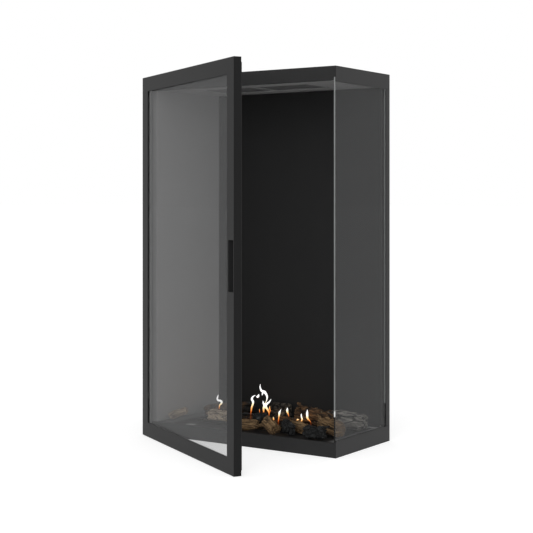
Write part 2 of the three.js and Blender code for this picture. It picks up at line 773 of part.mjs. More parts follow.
function doorGlazing() {
  const pane = doorPane;
  const paneBack = pane.front + paneThickness;
  const glass = block([pane.left, pane.front, pane.low], [pane.right, paneBack, pane.high]);
  addDoor("door_glass", glass, paneGlass);

  const press = paneBack + fitGap; // front face of the flange on the glass
  const rear = doorRear - sheet - fitGap; // back face of the flange on the frame
  const covered = { side: doorFace - 2, free: 42 }; // how far the retainer reaches over the pane
  const inner = [
    [left + covered.side, doorLowest + covered.side],
    [right - covered.free, doorHighest - covered.side],
  ];
  const ringBetween = (outline, hole, y0, y1) =>
    cut(
      block([outline[0][0], y0, outline[0][1]], [outline[1][0], y1, outline[1][1]]),
      block([hole[0][0], y0 - past, hole[0][1]], [hole[1][0], y1 + past, hole[1][1]]),
    );
  const webInner = [
    [pane.left, pane.low],
    [pane.right - sheet, pane.high],
  ];
  const webOuter = [
    [pane.left - sheet, pane.low - sheet],
    [pane.right, pane.high + sheet],
  ];
  const flangeInset = 16;
  const onFrame = [
    [left + flangeInset, doorLowest + flangeInset],
    [right - flangeInset, doorHighest - flangeInset],
  ];
  const retainer = joined(
    ringBetween(webOuter, inner, press, press + sheet),
    ringBetween(webOuter, webInner, press, rear),
    ringBetween(onFrame, webInner, rear - sheet, rear),
  );
  addDoor("glass_retainer", retainer, linerPaint);
}

function doorFittings() {
  const cupBack = doorRear - sheet - 2 * fitGap - sheet;
  const cupFront = doorFront + sheet + fitGap;
  const cup = cut(
    block(
      [pull.from - pull.wall, cupFront, pull.low - pull.wall],
      [right - sheet - fitGap, cupBack, pull.high + pull.wall],
    ),
    block(
      [pull.from, cupFront - past, pull.low],
      [right - sheet - fitGap - pull.wall, cupBack - pull.wall, pull.high],
    ),
  );
  addDoor("pull_cup", cup, blackPaint);

  const tape = { width: 6, front: doorRear + fitGap, back: front - fitGap };
  const outer = { left: left + 10, right: right - 1, low: 14, high: 986 };
  const edgeSeal = cut(
    block([outer.left, tape.front, outer.low], [outer.right, tape.back, outer.high]),
    block(
      [outer.left + tape.width, tape.front - past, outer.low + tape.width],
      [outer.right - tape.width, tape.back + past, outer.high - tape.width],
    ),
  );
  addDoor("door_edge_seal", edgeSeal, fibre);

  const magnet = { from: 230, to: 260, thickness: 5.5, rear: doorRear - sheet - fitGap };
  const magnetFront = magnet.rear - magnet.thickness;
  const magnetSpans = { door_magnet_lower: [3, 16], door_magnet_upper: [984, 997] };
  for (const [name, [low, high]] of Object.entries(magnetSpans)) {
    addDoor(name, block([magnet.from, magnetFront, low], [magnet.to, magnet.rear, high]), magnetSteel);
  }
}

bottomFrame();
casing();
fireboxShell();
ceilingAndFlue();
sideGlazing();
gasParts();
pilotParts();
emberBed();
logFire();
for (const [place, height] of Object.entries(hingeHeights)) {
  hinge(place, height);
}
doorFrame();
doorGlazing();
doorFittings();

// The door turns about the hinge line, free edge towards the room
const doorTurn = new THREE.Group();
doorPieces.position.set(-hingeX, -hingeY, 0);
doorTurn.position.set(hingeX, hingeY, 0);
doorTurn.rotation.z = -THREE.MathUtils.degToRad(doorOpenAngle);
doorTurn.add(doorPieces);
fireplace.add(doorTurn);

export default fireplace;
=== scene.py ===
import json
import math
import random

import bpy
import numpy as np
from mathutils import Matrix, Vector, noise

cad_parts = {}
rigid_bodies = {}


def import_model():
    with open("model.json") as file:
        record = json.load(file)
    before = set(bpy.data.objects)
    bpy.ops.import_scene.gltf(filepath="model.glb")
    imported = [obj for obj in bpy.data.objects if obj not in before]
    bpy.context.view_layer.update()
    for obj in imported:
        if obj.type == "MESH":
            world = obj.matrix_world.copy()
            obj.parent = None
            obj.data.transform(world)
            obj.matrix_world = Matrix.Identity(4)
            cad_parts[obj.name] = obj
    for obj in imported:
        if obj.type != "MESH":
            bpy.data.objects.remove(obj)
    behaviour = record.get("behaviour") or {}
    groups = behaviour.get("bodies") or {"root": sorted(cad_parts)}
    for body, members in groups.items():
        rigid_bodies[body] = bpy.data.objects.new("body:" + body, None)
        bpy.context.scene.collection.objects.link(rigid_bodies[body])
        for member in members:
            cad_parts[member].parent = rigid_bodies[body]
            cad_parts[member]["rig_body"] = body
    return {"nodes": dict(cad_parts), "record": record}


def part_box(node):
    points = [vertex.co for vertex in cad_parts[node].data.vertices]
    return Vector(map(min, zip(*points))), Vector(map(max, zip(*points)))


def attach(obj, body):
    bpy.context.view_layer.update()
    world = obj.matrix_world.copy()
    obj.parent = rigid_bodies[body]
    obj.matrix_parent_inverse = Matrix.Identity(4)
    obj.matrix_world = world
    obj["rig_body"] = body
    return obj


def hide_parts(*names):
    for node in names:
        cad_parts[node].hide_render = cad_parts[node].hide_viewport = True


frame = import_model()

scene = bpy.context.scene
scene.view_settings.view_transform = "Standard"
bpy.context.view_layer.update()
mergeDistance = 1e-6


# small helpers for the operators

def deselectAll():
    bpy.ops.object.select_all(action="DESELECT")


def makeActive(piece):
    deselectAll()
    piece.select_set(True)
    bpy.context.view_layer.objects.active = piece


def newest(name):
    piece = bpy.context.object
    piece.name = name
    piece.data.name = name
    return piece


def applyPlace(piece):
    makeActive(piece)
    bpy.ops.object.transform_apply(location=True, rotation=True, scale=True)


def addModifier(piece, kind, settings):
    makeActive(piece)
    modifier = piece.modifiers.new(kind.lower(), kind)
    for key, value in settings.items():
        setattr(modifier, key, value)
    bpy.ops.object.modifier_apply(modifier=modifier.name)


def smoothByAngle(piece, degrees):
    makeActive(piece)
    bpy.ops.object.shade_smooth_by_angle(angle=math.radians(degrees))


def selectFaces(piece, test):
    bpy.ops.object.mode_set(mode="OBJECT")
    for vertex in piece.data.vertices:
        vertex.select = False
    for edge in piece.data.edges:
        edge.select = False
    for face in piece.data.polygons:
        face.select = test(face)
    bpy.ops.object.mode_set(mode="EDIT")


def editOn(piece, mode="FACE"):
    makeActive(piece)
    bpy.ops.object.mode_set(mode="EDIT")
    bpy.ops.mesh.select_mode(type=mode)


def editOff():
    bpy.ops.object.mode_set(mode="OBJECT")


def mergeFlatFaces(piece, degrees):
    editOn(piece)
    bpy.ops.mesh.select_all(action="SELECT")
    bpy.ops.mesh.dissolve_limited(angle_limit=math.radians(degrees))
    editOff()


def roundEdges(piece, width, segments, degrees):     # only the edges sharper than this angle
    addModifier(piece, "BEVEL", {
        "width": width, "segments": segments, "limit_method": "ANGLE",
        "angle_limit": math.radians(degrees), "use_clamp_overlap": True,
    })


def joinAll(pieces, name):
    makeActive(pieces[0])
    for piece in pieces:
        piece.select_set(True)
    bpy.ops.object.join()
    return newest(name)


def copyOfNode(nodeName, pieceName):
    mesh = frame["nodes"][nodeName].data.copy()
    mesh.materials.clear()
    piece = bpy.data.objects.new(pieceName, mesh)
    scene.collection.objects.link(piece)
    editOn(piece)
    bpy.ops.mesh.select_all(action="SELECT")
    bpy.ops.mesh.remove_doubles(threshold=mergeDistance)
    editOff()
    return piece


def bodyOf(nodeName):
    return frame["nodes"][nodeName]["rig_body"]


def slotOf(nodeName):
    for row in frame["record"]["subparts"]:
        if row["node"] == nodeName:
            return row["material_slot"]


def standsFor(piece, nodeName, material=None):
    if material:
        piece.data.materials.clear()
        piece.data.materials.append(material)
    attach(piece, bodyOf(nodeName))
    slotOf(nodeName)
    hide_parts(nodeName)


# shader maths: a Signal is one output socket, a Shader is one material

class Signal:
    def __init__(self, shader, socket):
        self.shader = shader
        self.socket = socket

    def combine(self, operation, first, second):
        return self.shader.node("Math", {"operation": operation}, {0: first, 1: second})

    def __add__(self, other):
        return self.combine("ADD", self, other)

    def __radd__(self, other):
        return self.combine("ADD", other, self)

    def __sub__(self, other):
        return self.combine("SUBTRACT", self, other)

    def __rsub__(self, other):
        return self.combine("SUBTRACT", other, self)

    def __mul__(self, other):
        return self.combine("MULTIPLY", self, other)

    def __rmul__(self, other):
        return self.combine("MULTIPLY", other, self)


class Shader:
    def __init__(self, name, owner=None):
        self.material = owner or bpy.data.materials.new(name)
        self.material.use_nodes = True
        self.tree = self.material.node_tree
        self.tree.nodes.clear()

    def node(self, kind, settings=None, sockets=None, out=0):
        made = self.tree.nodes.new("ShaderNode" + kind)
        for key, value in (settings or {}).items():
            if key == "stops":
                self.setStops(made.color_ramp, value)
            else:
                setattr(made, key, value)
        for key, value in (sockets or {}).items():
            if isinstance(value, Signal):
                self.tree.links.new(value.socket, made.inputs[key])
            else:
                made.inputs[key].default_value = value
        return Signal(self, made.outputs[out])

    def setStops(self, ramp, stops):
        while len(ramp.elements) < len(stops):
            ramp.elements.new(0.5)
        for element, (position, value) in zip(ramp.elements, stops):
            element.position = position
            element.color = value if hasattr(value, "__len__") else (value, value, value, 1)

    def objectPlace(self, stretch=(1, 1, 1)):
        place = self.node("TexCoord", out="Object")
        return self.node("Mapping", {}, {"Vector": place, "Scale": stretch})

    def noise(self, place, scale, detail=4.0, roughness=0.55):
        sockets = {"Vector": place, "Scale": scale, "Detail": detail, "Roughness": roughness}
        return self.node("TexNoise", {}, sockets, out="Fac")

    def cells(self, place, scale, out="Distance"):
        return self.node("TexVoronoi", {}, {"Vector": place, "Scale": scale}, out=out)

    def ramp(self, signal, stops):
        return self.node("ValToRGB", {"stops": stops}, {"Fac": signal}, out="Color")

    def level(self, signal, low, high, toLow=0.0, toHigh=1.0):
        sockets = {"Value": signal, "From Min": low, "From Max": high, "To Min": toLow, "To Max": toHigh}
        return self.node("MapRange", {"clamp": True}, sockets)

    def blendColour(self, share, first, second):
        return self.node("Mix", {"data_type": "RGBA"}, {0: share, 6: first, 7: second}, out=2)

    def bump(self, height, distance):
        return self.node("Bump", {}, {"Height": height, "Distance": distance})

    def finish(self, surface):
        output = self.tree.nodes.new("ShaderNodeOutputMaterial")
        self.tree.links.new(surface.socket, output.inputs["Surface"])
        return self.material

    def principled(self, sockets):
        return self.finish(self.node("BsdfPrincipled", {}, sockets))


def rgb(red, green, blue):
    return (red, green, blue, 1.0)


# camera at the photograph's angle

view = {"place": (1.9579, -2.9321, 0.6572), "turn": 33.78, "lens": 85.94, "sensor": 36, "shiftY": -0.1244}
deselectAll()
upright = (math.radians(90), 0, math.radians(view["turn"]))
bpy.ops.object.camera_add(location=view["place"], rotation=upright)
camera = bpy.context.object
camera.name = "camera"
camera.data.lens = view["lens"]
camera.data.sensor_width = view["sensor"]
camera.data.shift_y = view["shiftY"]
scene.camera = camera
print("camera is in place")


# studio: white surroundings, a pale floor and soft lamps

studio = {
    "worldLight": 0.72,         # what the white surroundings give to diffuse surfaces
    "floorSize": 240.0,
    "floorLevel": -0.0004,
    "floorColour": rgb(0.5, 0.5, 0.5),
    "floorLift": 0.66,          # lifts the floor to the white of the background
    "lamps": {                  # place, aim, size, power
        "lamp_front_fill": ((1.5, -3.3, 1.5), (0, 0, 0.4), 2.2, 46),
        "lamp_high_left": ((-2.4, -1.6, 2.8), (0, 0, 0.5), 2.0, 6),
        "lamp_high_right": ((3.0, 1.2, 2.4), (0, 0, 0.5), 2.0, 6),
    },
}


def whiteRays(shader):          # 1 on the rays that see the background itself
    paths = ("Is Camera Ray", "Is Glossy Ray", "Is Transmission Ray")
    camera, glossy, transmission = [shader.node("LightPath", out=name) for name in paths]
    either = shader.node("Math", {"operation": "MAXIMUM"}, {0: camera, 1: glossy})
    return shader.node("Math", {"operation": "MAXIMUM"}, {0: either, 1: transmission})


def makeWorld():
    world = scene.world or bpy.data.worlds.new("white_studio")
    scene.world = world
    sky = Shader("white_studio", world)
    seen = whiteRays(sky)
    strength = studio["worldLight"] + seen * (1 - studio["worldLight"])
    light = sky.node("Background", {}, {"Color": rgb(1, 1, 1), "Strength": strength})
    output = sky.tree.nodes.new("ShaderNodeOutputWorld")
    sky.tree.links.new(light.socket, output.inputs["Surface"])


def makeFloor():
    deselectAll()
    bpy.ops.mesh.primitive_plane_add(size=studio["floorSize"], location=(0, 0, studio["floorLevel"]))
    floor = newest("studio_floor")
    applyPlace(floor)
    pale = Shader("pale_floor")
    seen = whiteRays(pale)
    plain = pale.node("BsdfDiffuse", {}, {"Color": studio["floorColour"]})
    lift = pale.node("Emission", {}, {"Color": rgb(1, 1, 1), "Strength": seen * studio["floorLift"]})
    floor.data.materials.append(pale.finish(pale.node("AddShader", {}, {0: plain, 1: lift})))


def makeLamps():
    for name, (place, aim, size, power) in studio["lamps"].items():
        deselectAll()
        bpy.ops.object.light_add(type="AREA", location=place)
        lamp = newest(name)
        lamp.data.shape = "DISK"
        lamp.data.size = size
        lamp.data.energy = power
        lamp.rotation_euler = (Vector(aim) - Vector(place)).to_track_quat("-Z", "Y").to_euler()
        lamp.visible_camera = False
        lamp.visible_glossy = False


makeWorld()
makeFloor()
makeLamps()
print("studio is lit")


# painted and plated metals

coats = {
    "outer_black": {"dark": rgb(0.0190, 0.0190, 0.0192), "light": rgb(0.0240, 0.0240, 0.0242),
                    "roughness": 0.44, "shine": 0.18, "grainScale": 620.0, "grainHeight": 0.00003},
    "door_black": {"dark": rgb(0.0085, 0.0085, 0.0086), "light": rgb(0.0125, 0.0125, 0.0126),
                   "roughness": 0.46, "shine": 0.115, "grainScale": 620.0, "grainHeight": 0.00003},
    "firebox_black": {"dark": rgb(0.010, 0.010, 0.0102), "light": rgb(0.017, 0.0168, 0.0165),
                      "roughness": 0.52, "shine": 0.2, "grainScale": 500.0, "grainHeight": 0.00003},
    "back_wall_black": {"dark": rgb(0.0165, 0.0165, 0.0167), "light": rgb(0.020, 0.020, 0.0202),
                        "roughness": 0.7, "shine": 0.12, "grainScale": 400.0, "grainHeight": 0.000004},
    "liner_grey": {"dark": rgb(0.275, 0.275, 0.275), "light": rgb(0.31, 0.31, 0.31),
                   "roughness": 0.62, "shine": 0.2, "grainScale": 400.0, "grainHeight": 0.000004},
    "ceiling_grey": {"dark": rgb(0.33, 0.33, 0.33), "light": rgb(0.37, 0.37, 0.37),
                     "roughness": 0.62, "shine": 0.2, "grainScale": 400.0, "grainHeight": 0.000004},
    "baffle_grey": {"dark": rgb(0.145, 0.145, 0.145), "light": rgb(0.175, 0.175, 0.175),
                    "roughness": 0.6, "shine": 0.2, "grainScale": 400.0, "grainHeight": 0.000004},
}


def powderCoat(name):
    look = coats[name]
    paint = Shader(name)
    place = paint.objectPlace()
    cloud = paint.noise(place, 6.0, 5.0, 0.6)           # faint handling marks
    peel = paint.noise(place, look["grainScale"], 2.0)  # the coat's own texture
    fine = paint.noise(place, look["grainScale"] * 2.7, 1.0)
    speck = paint.level(fine, 0.62, 0.78)
    colour = paint.blendColour(cloud, look["dark"], look["light"])
    colour = paint.blendColour(speck * 0.2, colour, look["light"])
    roughness = look["roughness"] + 0.05 * (cloud - 0.5) + 0.05 * (peel - 0.5)
    height = peel + 0.4 * fine
    return paint.principled({
        "Base Color": colour,
        "Roughness": roughness,
        "Specular IOR Level": look["shine"],
        "Normal": paint.bump(height, look["grainHeight"]),
    })


metals = {
    "zinc_plate": {"dark": rgb(0.36, 0.37, 0.385), "light": rgb(0.56, 0.57, 0.58), "roughness": 0.38,
                   "spangle": 90.0, "stretch": (1, 1, 1)},
    "bright_steel": {"dark": rgb(0.42, 0.425, 0.43), "light": rgb(0.6, 0.6, 0.6), "roughness": 0.28,
                     "spangle": 260.0, "stretch": (1, 1, 0.12)},
    "brass_turned": {"dark": rgb(0.55, 0.39, 0.16), "light": rgb(0.72, 0.54, 0.25), "roughness": 0.27,
                     "spangle": 300.0, "stretch": (0.2, 1, 1)},
    "copper_drawn": {"dark": rgb(0.36, 0.17, 0.1), "light": rgb(0.68, 0.36, 0.23), "roughness": 0.34,
                     "spangle": 120.0, "stretch": (1, 1, 1)},
    "nickel_plate": {"dark": rgb(0.3, 0.3, 0.31), "light": rgb(0.46, 0.46, 0.47), "roughness": 0.24,
                     "spangle": 200.0, "stretch": (1, 1, 1)},
}


def bareMetal(name):
    look = metals[name]
    steel = Shader(name)
    place = steel.objectPlace(look["stretch"])
    patch = steel.cells(place, look["spangle"], out="Color")
    patch = steel.node("RGBToBW", {}, {"Color": patch})
    tarnish = steel.noise(place, 9.0, 6.0, 0.62)
    lines = steel.noise(place, 1400.0, 2.0)
    share = 0.45 * patch + 0.55 * steel.level(tarnish, 0.3, 0.7)
    roughness = look["roughness"] + 0.14 * (tarnish - 0.5) + 0.08 * (patch - 0.5)
    return steel.principled({
        "Base Color": steel.blendColour(share, look["dark"], look["light"]),
        "Metallic": 1.0,
        "Roughness": roughness,
        "Normal": steel.bump(lines, 0.00003),
    })


# glass, ceramic and fibre

glass = {"tint": rgb(0.100, 0.102, 0.103), "cover": 0.053, "slantCover": 0.5, "roughness": 0.02,
         "shadeFrom": 0.1035, "shadeTo": 0.107,
         "glintTop": 0.118, "glintBack": -0.13, "glintFade": (0.004, 0.01)}


def paneGlass():
    pane = Shader("pane_glass")
    place = pane.objectPlace()
    smear = pane.noise(place, 7.0, 5.0, 0.65)
    slant = pane.node("LayerWeight", {}, {"Blend": 0.5}, out="Facing")      # 0 seen straight on
    cover = glass["cover"] + slant * slant * glass["slantCover"]
    return pane.principled({
        "Base Color": glass["tint"],
        "Roughness": glass["roughness"] + 0.03 * smear,
        "Alpha": cover,
    })


def groundEdge():
    edge = Shader("ground_glass_edge")
    place = edge.objectPlace()
    grit = edge.noise(place, 900.0, 2.0)
    haze = edge.noise(place, 24.0, 4.0)
    height = edge.node("SeparateXYZ", {}, {"Vector": place}, out="Z")
    back = edge.node("SeparateXYZ", {}, {"Vector": place}, out="Y")
    # painted shade: the ground edge is darkened to near black below this height
    shadedFoot = edge.level(height, glass["shadeFrom"], glass["shadeTo"], 1.0, 0.0)
    bright = edge.blendColour(haze, rgb(0.19, 0.198, 0.196), rgb(0.27, 0.28, 0.278))
    fadeUp, fadeBack = glass["glintFade"]
    low = edge.level(height, glass["glintTop"], glass["glintTop"] + fadeUp, 1.0, 0.0)
    front = edge.level(back, glass["glintBack"], glass["glintBack"] + fadeBack, 1.0, 0.0)
    bright = edge.blendColour(low * front, bright, rgb(0.9, 0.9, 0.88))     # painted reflection of the flames in the front edge
    return edge.principled({
        "Base Color": edge.blendColour(shadedFoot, bright, rgb(0.004, 0.004, 0.004)),
        "Roughness": 0.38 + 0.2 * grit,
        "Specular IOR Level": 0.25,
        "Normal": edge.bump(grit, 0.00002),
    })


def mineralBoard():
    board = Shader("mineral_board")
    place = board.objectPlace()
    crumb = board.noise(place, 260.0, 6.0, 0.7)
    cloud = board.noise(place, 14.0, 4.0)
    pits = board.cells(place, 420.0)
    colour = board.blendColour(cloud, rgb(0.5, 0.475, 0.42), rgb(0.68, 0.655, 0.6))
    colour = board.blendColour(board.level(crumb, 0.55, 0.75) * 0.5, colour, rgb(0.36, 0.33, 0.28))
    return board.principled({
        "Base Color": colour,
        "Roughness": 0.95,
        "Normal": board.bump(crumb + 0.6 * pits, 0.0006),
    })


def fibreTape():
    tape = Shader("fibre_tape")
    place = tape.objectPlace()
    across = tape.node("TexWave", {"bands_direction": "DIAGONAL"}, {"Vector": place, "Scale": 260.0})
    fuzz = tape.noise(place, 900.0, 4.0, 0.7)
    soot = tape.noise(place, 22.0, 5.0, 0.6)
    weave = across * 0.6 + fuzz * 0.4
    colour = tape.blendColour(weave, rgb(0.012, 0.012, 0.0115), rgb(0.032, 0.031, 0.030))
    colour = tape.blendColour(tape.level(soot, 0.45, 0.75) * 0.6, colour, rgb(0.012, 0.0118, 0.0115))
    return tape.principled({
        "Base Color": colour,
        "Roughness": 0.92,
        "Normal": tape.bump(weave, 0.0004),
    })


def whitePorcelain():
    glaze = Shader("white_porcelain")
    place = glaze.objectPlace()
    soot = glaze.noise(place, 180.0, 5.0, 0.6)
    colour = glaze.blendColour(glaze.level(soot, 0.5, 0.72), rgb(0.78, 0.76, 0.7), rgb(0.34, 0.31, 0.27))
    return glaze.principled({
        "Base Color": colour,
        "Roughness": 0.14 + 0.3 * soot,
        "Normal": glaze.bump(soot, 0.00005),
    })


# floor plate marks: painted shade round the fire bed, a painted pool of light in the right-back corner and a
# painted spot of light at the front left
hearth = {
    "soot": rgb(0.013, 0.0128, 0.0125), "steel": rgb(0.15, 0.15, 0.149), "corner": rgb(0.46, 0.46, 0.455),
    "fireCentre": (0.02, -0.03, 0.0), "fireHalf": (0.248, 0.135), "shadeEdge": (0.98, 1.06),
    "litCornerBehind": (0.035, 0.075), "litCornerRight": (0.24, 0.262),
    "paintedLightSpot": (-0.175, -0.124, 0.0365), "paintedLightEdge": (0.008, 0.02),
}


def hearthSteel():
    plate = Shader("hearth_steel")
    place = plate.node("TexCoord", out="Object")
    parts = [plate.node("SeparateXYZ", {}, {"Vector": place}, out=axis) for axis in "XYZ"]
    cloud = plate.noise(place, 16.0, 5.0, 0.6)
    grit = plate.noise(place, 320.0, 3.0)
    reach = []
    for part, centre, half in zip(parts, hearth["fireCentre"], hearth["fireHalf"]):
        offset = plate.node("Math", {"operation": "ABSOLUTE"}, {0: part - centre})
        reach.append(offset * (1 / half))
    outside = plate.node("Math", {"operation": "MAXIMUM"}, {0: reach[0], 1: reach[1]})
    # painted shade: the plate darkens round the fire bed, out to the shade edge
    unshaded = plate.level(outside + 0.12 * (cloud - 0.5), *hearth["shadeEdge"])
    # painted pool of light: the right-back corner of the plate is painted in the light corner colour
    rear = plate.level(parts[1] + 0.05 * (cloud - 0.5), *hearth["litCornerBehind"])
    aside = plate.level(parts[0], *hearth["litCornerRight"])
    steel = plate.blendColour(rear * aside, hearth["steel"], hearth["corner"])
    # painted spot of light on the plate at the front left, in the light corner colour
    away = plate.node("VectorMath", {"operation": "DISTANCE"}, {0: place, 1: hearth["paintedLightSpot"]}, out="Value")
    spot = plate.level(away + 0.012 * (cloud - 0.5), *hearth["paintedLightEdge"], 0.8, 0.0)
    colour = plate.blendColour(unshaded, hearth["soot"], steel)
    colour = plate.blendColour(spot, colour, hearth["corner"])
    return plate.principled({
        "Base Color": colour,
        "Roughness": 0.5 + 0.2 * cloud,
        "Specular IOR Level": 0.3,
        "Normal": plate.bump(grit, 0.00003),
    })


outerBlack = powderCoat("outer_black")
doorBlack = powderCoat("door_black")
fireboxBlack = powderCoat("firebox_black")
backWallBlack = powderCoat("back_wall_black")
linerGrey = powderCoat("liner_grey")
ceilingGrey = powderCoat("ceiling_grey")
baffleGrey = powderCoat("baffle_grey")
zincPlate = bareMetal("zinc_plate")
hearthPaint = hearthSteel()
brightSteel = bareMetal("bright_steel")
brassTurned = bareMetal("brass_turned")
copperDrawn = bareMetal("copper_drawn")
nickelPlate = bareMetal("nickel_plate")
paneMaterial = paneGlass()
edgeMaterial = groundEdge()
boardMaterial = mineralBoard()
tapeMaterial = fibreTape()
porcelain = whitePorcelain()
print("metals, glass and fibre are mixed")


# folded sheet metal: every folded piece gets its small bend radius

folds = {"radius": 0.00045, "segments": 2, "flatAngle": 1.0, "sharpAngle": 35.0}
foldedPieces = {
    "bottom_front_rail": outerBlack, "bottom_right_rail": outerBlack,
    "front_left_post": linerGrey, "rear_right_post": outerBlack,
    "outer_left_panel": outerBlack, "outer_back_panel": outerBlack,
    "top_front_rail": outerBlack, "top_right_rail": outerBlack, "top_plate": outerBlack,
    "door_frame": doorBlack, "glass_retainer": linerGrey, "pull_cup": outerBlack,
    "floor_plate": hearthPaint, "glass_sill": hearthPaint, "ceiling_plate": ceilingGrey,
    "baffle_left": baffleGrey, "baffle_right": baffleGrey,
    "left_liner": linerGrey, "back_liner": backWallBlack,
    "burner_tray": fireboxBlack, "flue_box": zincPlate, "air_duct": zincPlate, "pilot_bracket": zincPlate,
    "lower_hinge_fixed_leaf": brightSteel, "upper_hinge_fixed_leaf": brightSteel,
    "lower_hinge_door_leaf": brightSteel, "upper_hinge_door_leaf": brightSteel,
    "door_magnet_lower": nickelPlate, "door_magnet_upper": nickelPlate,
}


def foldedPiece(nodeName, material):
    piece = copyOfNode(nodeName, nodeName + "_folded")
    mergeFlatFaces(piece, folds["flatAngle"])
    roundEdges(piece, folds["radius"], folds["segments"], folds["sharpAngle"])
    smoothByAngle(piece, folds["sharpAngle"])
    # large flat faces are shaded flat, without a gradient from their rounded edges
    addModifier(piece, "WEIGHTED_NORMAL", {"mode": "FACE_AREA", "weight": 50, "keep_sharp": True})
    standsFor(piece, nodeName, material)


for nodeName, material in foldedPieces.items():
    foldedPiece(nodeName, material)
print("folded sheet is finished")


# pan-head screws in the back and the left panel: one is modelled, the rest are copies

screwLook = {"head": 0.0034, "tall": 0.0017, "recess": 0.0016, "recessDepth": 0.0009, "rounding": 0.0005,
             "smoothAngle": 35, "edgeInset": 0.012, "rows": 5, "columns": 3}


def screwHead():
    deselectAll()
    bpy.ops.mesh.primitive_cylinder_add(vertices=20, radius=screwLook["head"], depth=screwLook["tall"],
                                        location=(0, 0, screwLook["tall"] / 2))
    head = newest("screw_head")
    applyPlace(head)
    selectFaces(head, lambda face: face.normal.z > 0.9)
    bpy.ops.mesh.inset(thickness=screwLook["head"] - screwLook["recess"])
    bpy.ops.mesh.extrude_region_move(TRANSFORM_OT_translate={"value": (0, 0, -screwLook["recessDepth"])})
    editOff()
    addModifier(head, "BEVEL", {"width": screwLook["rounding"], "segments": 2, "limit_method": "ANGLE"})
    smoothByAngle(head, screwLook["smoothAngle"])
    head.data.materials.append(zincPlate)
    return head


def driveScrews(name, nodeName, outward, pattern):
    low, high = [Vector(corner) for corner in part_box(nodeName)]
    inset = screwLook["edgeInset"]
    across = 0 if abs(outward.y) > 0.5 else 1
    spots = []
    for row in range(screwLook["rows"]):
        height = low.z + inset + (high.z - low.z - 2 * inset) * row / (screwLook["rows"] - 1)
        edgeRow = row in (0, screwLook["rows"] - 1)
        for column in range(screwLook["columns"]):
            middle = 0 < column < screwLook["columns"] - 1
            if middle and not edgeRow:
                continue
            share = column / (screwLook["columns"] - 1)
            spot = Vector(low)
            spot[across] = low[across] + inset + (high[across] - low[across] - 2 * inset) * share
            spot[1 - across] = high[1 - across] if outward[1 - across] > 0 else low[1 - across]
            spot.z = height
            spots.append(spot)
    turn = outward.to_track_quat("Z", "Y").to_matrix().to_4x4()
    heads = []
    for spot in spots:
        head = bpy.data.objects.new(name, pattern.data.copy())
        scene.collection.objects.link(head)
        head.data.transform(Matrix.Translation(spot) @ turn)
        heads.append(head)
    piece = joinAll(heads, name)
    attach(piece, "cabinet")


pattern = screwHead()
driveScrews("back_panel_screws", "outer_back_panel", Vector((0, 1, 0)), pattern)
driveScrews("left_panel_screws", "outer_left_panel", Vector((-1, 0, 0)), pattern)
bpy.data.objects.remove(pattern)
print("screws are driven")


# turned parts keep their shape and get smooth sides

turning = {"arris": 0.00025, "segments": 2, "sharpAngle": 50, "smoothAngle": 40}
turnedPieces = {
    "burner_tube": zincPlate, "gas_injector": brassTurned, "gas_supply_pipe": copperDrawn,
    "pilot_hood": brightSteel, "spark_electrode": porcelain, "thermocouple": copperDrawn,
    "lower_hinge_pin": brightSteel, "upper_hinge_pin": brightSteel,
}


def turnedPiece(nodeName, material):
    piece = copyOfNode(nodeName, nodeName + "_turned")
    roundEdges(piece, turning["arris"], turning["segments"], turning["sharpAngle"])
    smoothByAngle(piece, turning["smoothAngle"])
    standsFor(piece, nodeName, material)


for nodeName, material in turnedPieces.items():
    turnedPiece(nodeName, material)


# flue collars: spun from a profile, with a rolled stiffening bead

collars = {
    "exhaust_collar": {"foot": 0.012, "bead": 0.0016},
    "intake_collar": {"foot": 0.015, "bead": 0.0018, "seat": 0.9863},      # its spigot goes below the seat
}
spinning = {"steps": 128, "wall": 0.0015, "fillet": 0.0008, "beadDrop": 0.0045, "beadSteps": 8,
            "smoothAngle": 40}


def spunCollar(nodeName):
    look = collars[nodeName]
    low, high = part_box(nodeName)
    centre = (low + high) / 2
    radius = (high.x - low.x) / 2 - look["foot"]
    wall = spinning["wall"]
    fillet = spinning["fillet"]
    seat = look.get("seat", low.z)
    beadLevel = high.z - spinning["beadDrop"]
    bead = []                                   # half a circle outwards, from its foot up
    for step in range(spinning["beadSteps"] + 1):
        turn = math.pi * (step / spinning["beadSteps"] - 0.5)
        bead.append((look["bead"] * math.cos(turn), beadLevel + look["bead"] * math.sin(turn)))
    outline = [(radius, seat), (radius + look["foot"], seat), (radius + look["foot"], seat + wall)]
    outline += [(radius + fillet, seat + wall), (radius, seat + wall + fillet)]
    outline += [(radius + out, level) for out, level in bead]
    outline += [(radius, high.z), (radius - wall, high.z)]
    outline += [(radius - wall + out, level) for out, level in reversed(bead)]
    outline.append((radius - wall, low.z))
    if low.z < seat:
        outline.append((radius, low.z))
    mesh = bpy.data.meshes.new(nodeName + "_spun")
    points = [(centre.x + r, centre.y, z) for r, z in outline]
    edges = [(index, (index + 1) % len(points)) for index in range(len(points))]
    mesh.from_pydata(points, edges, [])
    piece = bpy.data.objects.new(nodeName + "_spun", mesh)
    scene.collection.objects.link(piece)
    editOn(piece, "VERT")
    bpy.ops.mesh.select_all(action="SELECT")
    bpy.ops.mesh.spin(steps=spinning["steps"], angle=2 * math.pi, center=(centre.x, centre.y, 0),
                      axis=(0, 0, 1))
    bpy.ops.mesh.select_all(action="SELECT")
    bpy.ops.mesh.remove_doubles(threshold=mergeDistance)
    bpy.ops.mesh.normals_make_consistent(inside=False)
    editOff()
    smoothByAngle(piece, spinning["smoothAngle"])
    standsFor(piece, nodeName, zincPlate)


for nodeName in collars:
    spunCollar(nodeName)
print("turned and spun parts are finished")


# plain pieces that keep the CAD shape

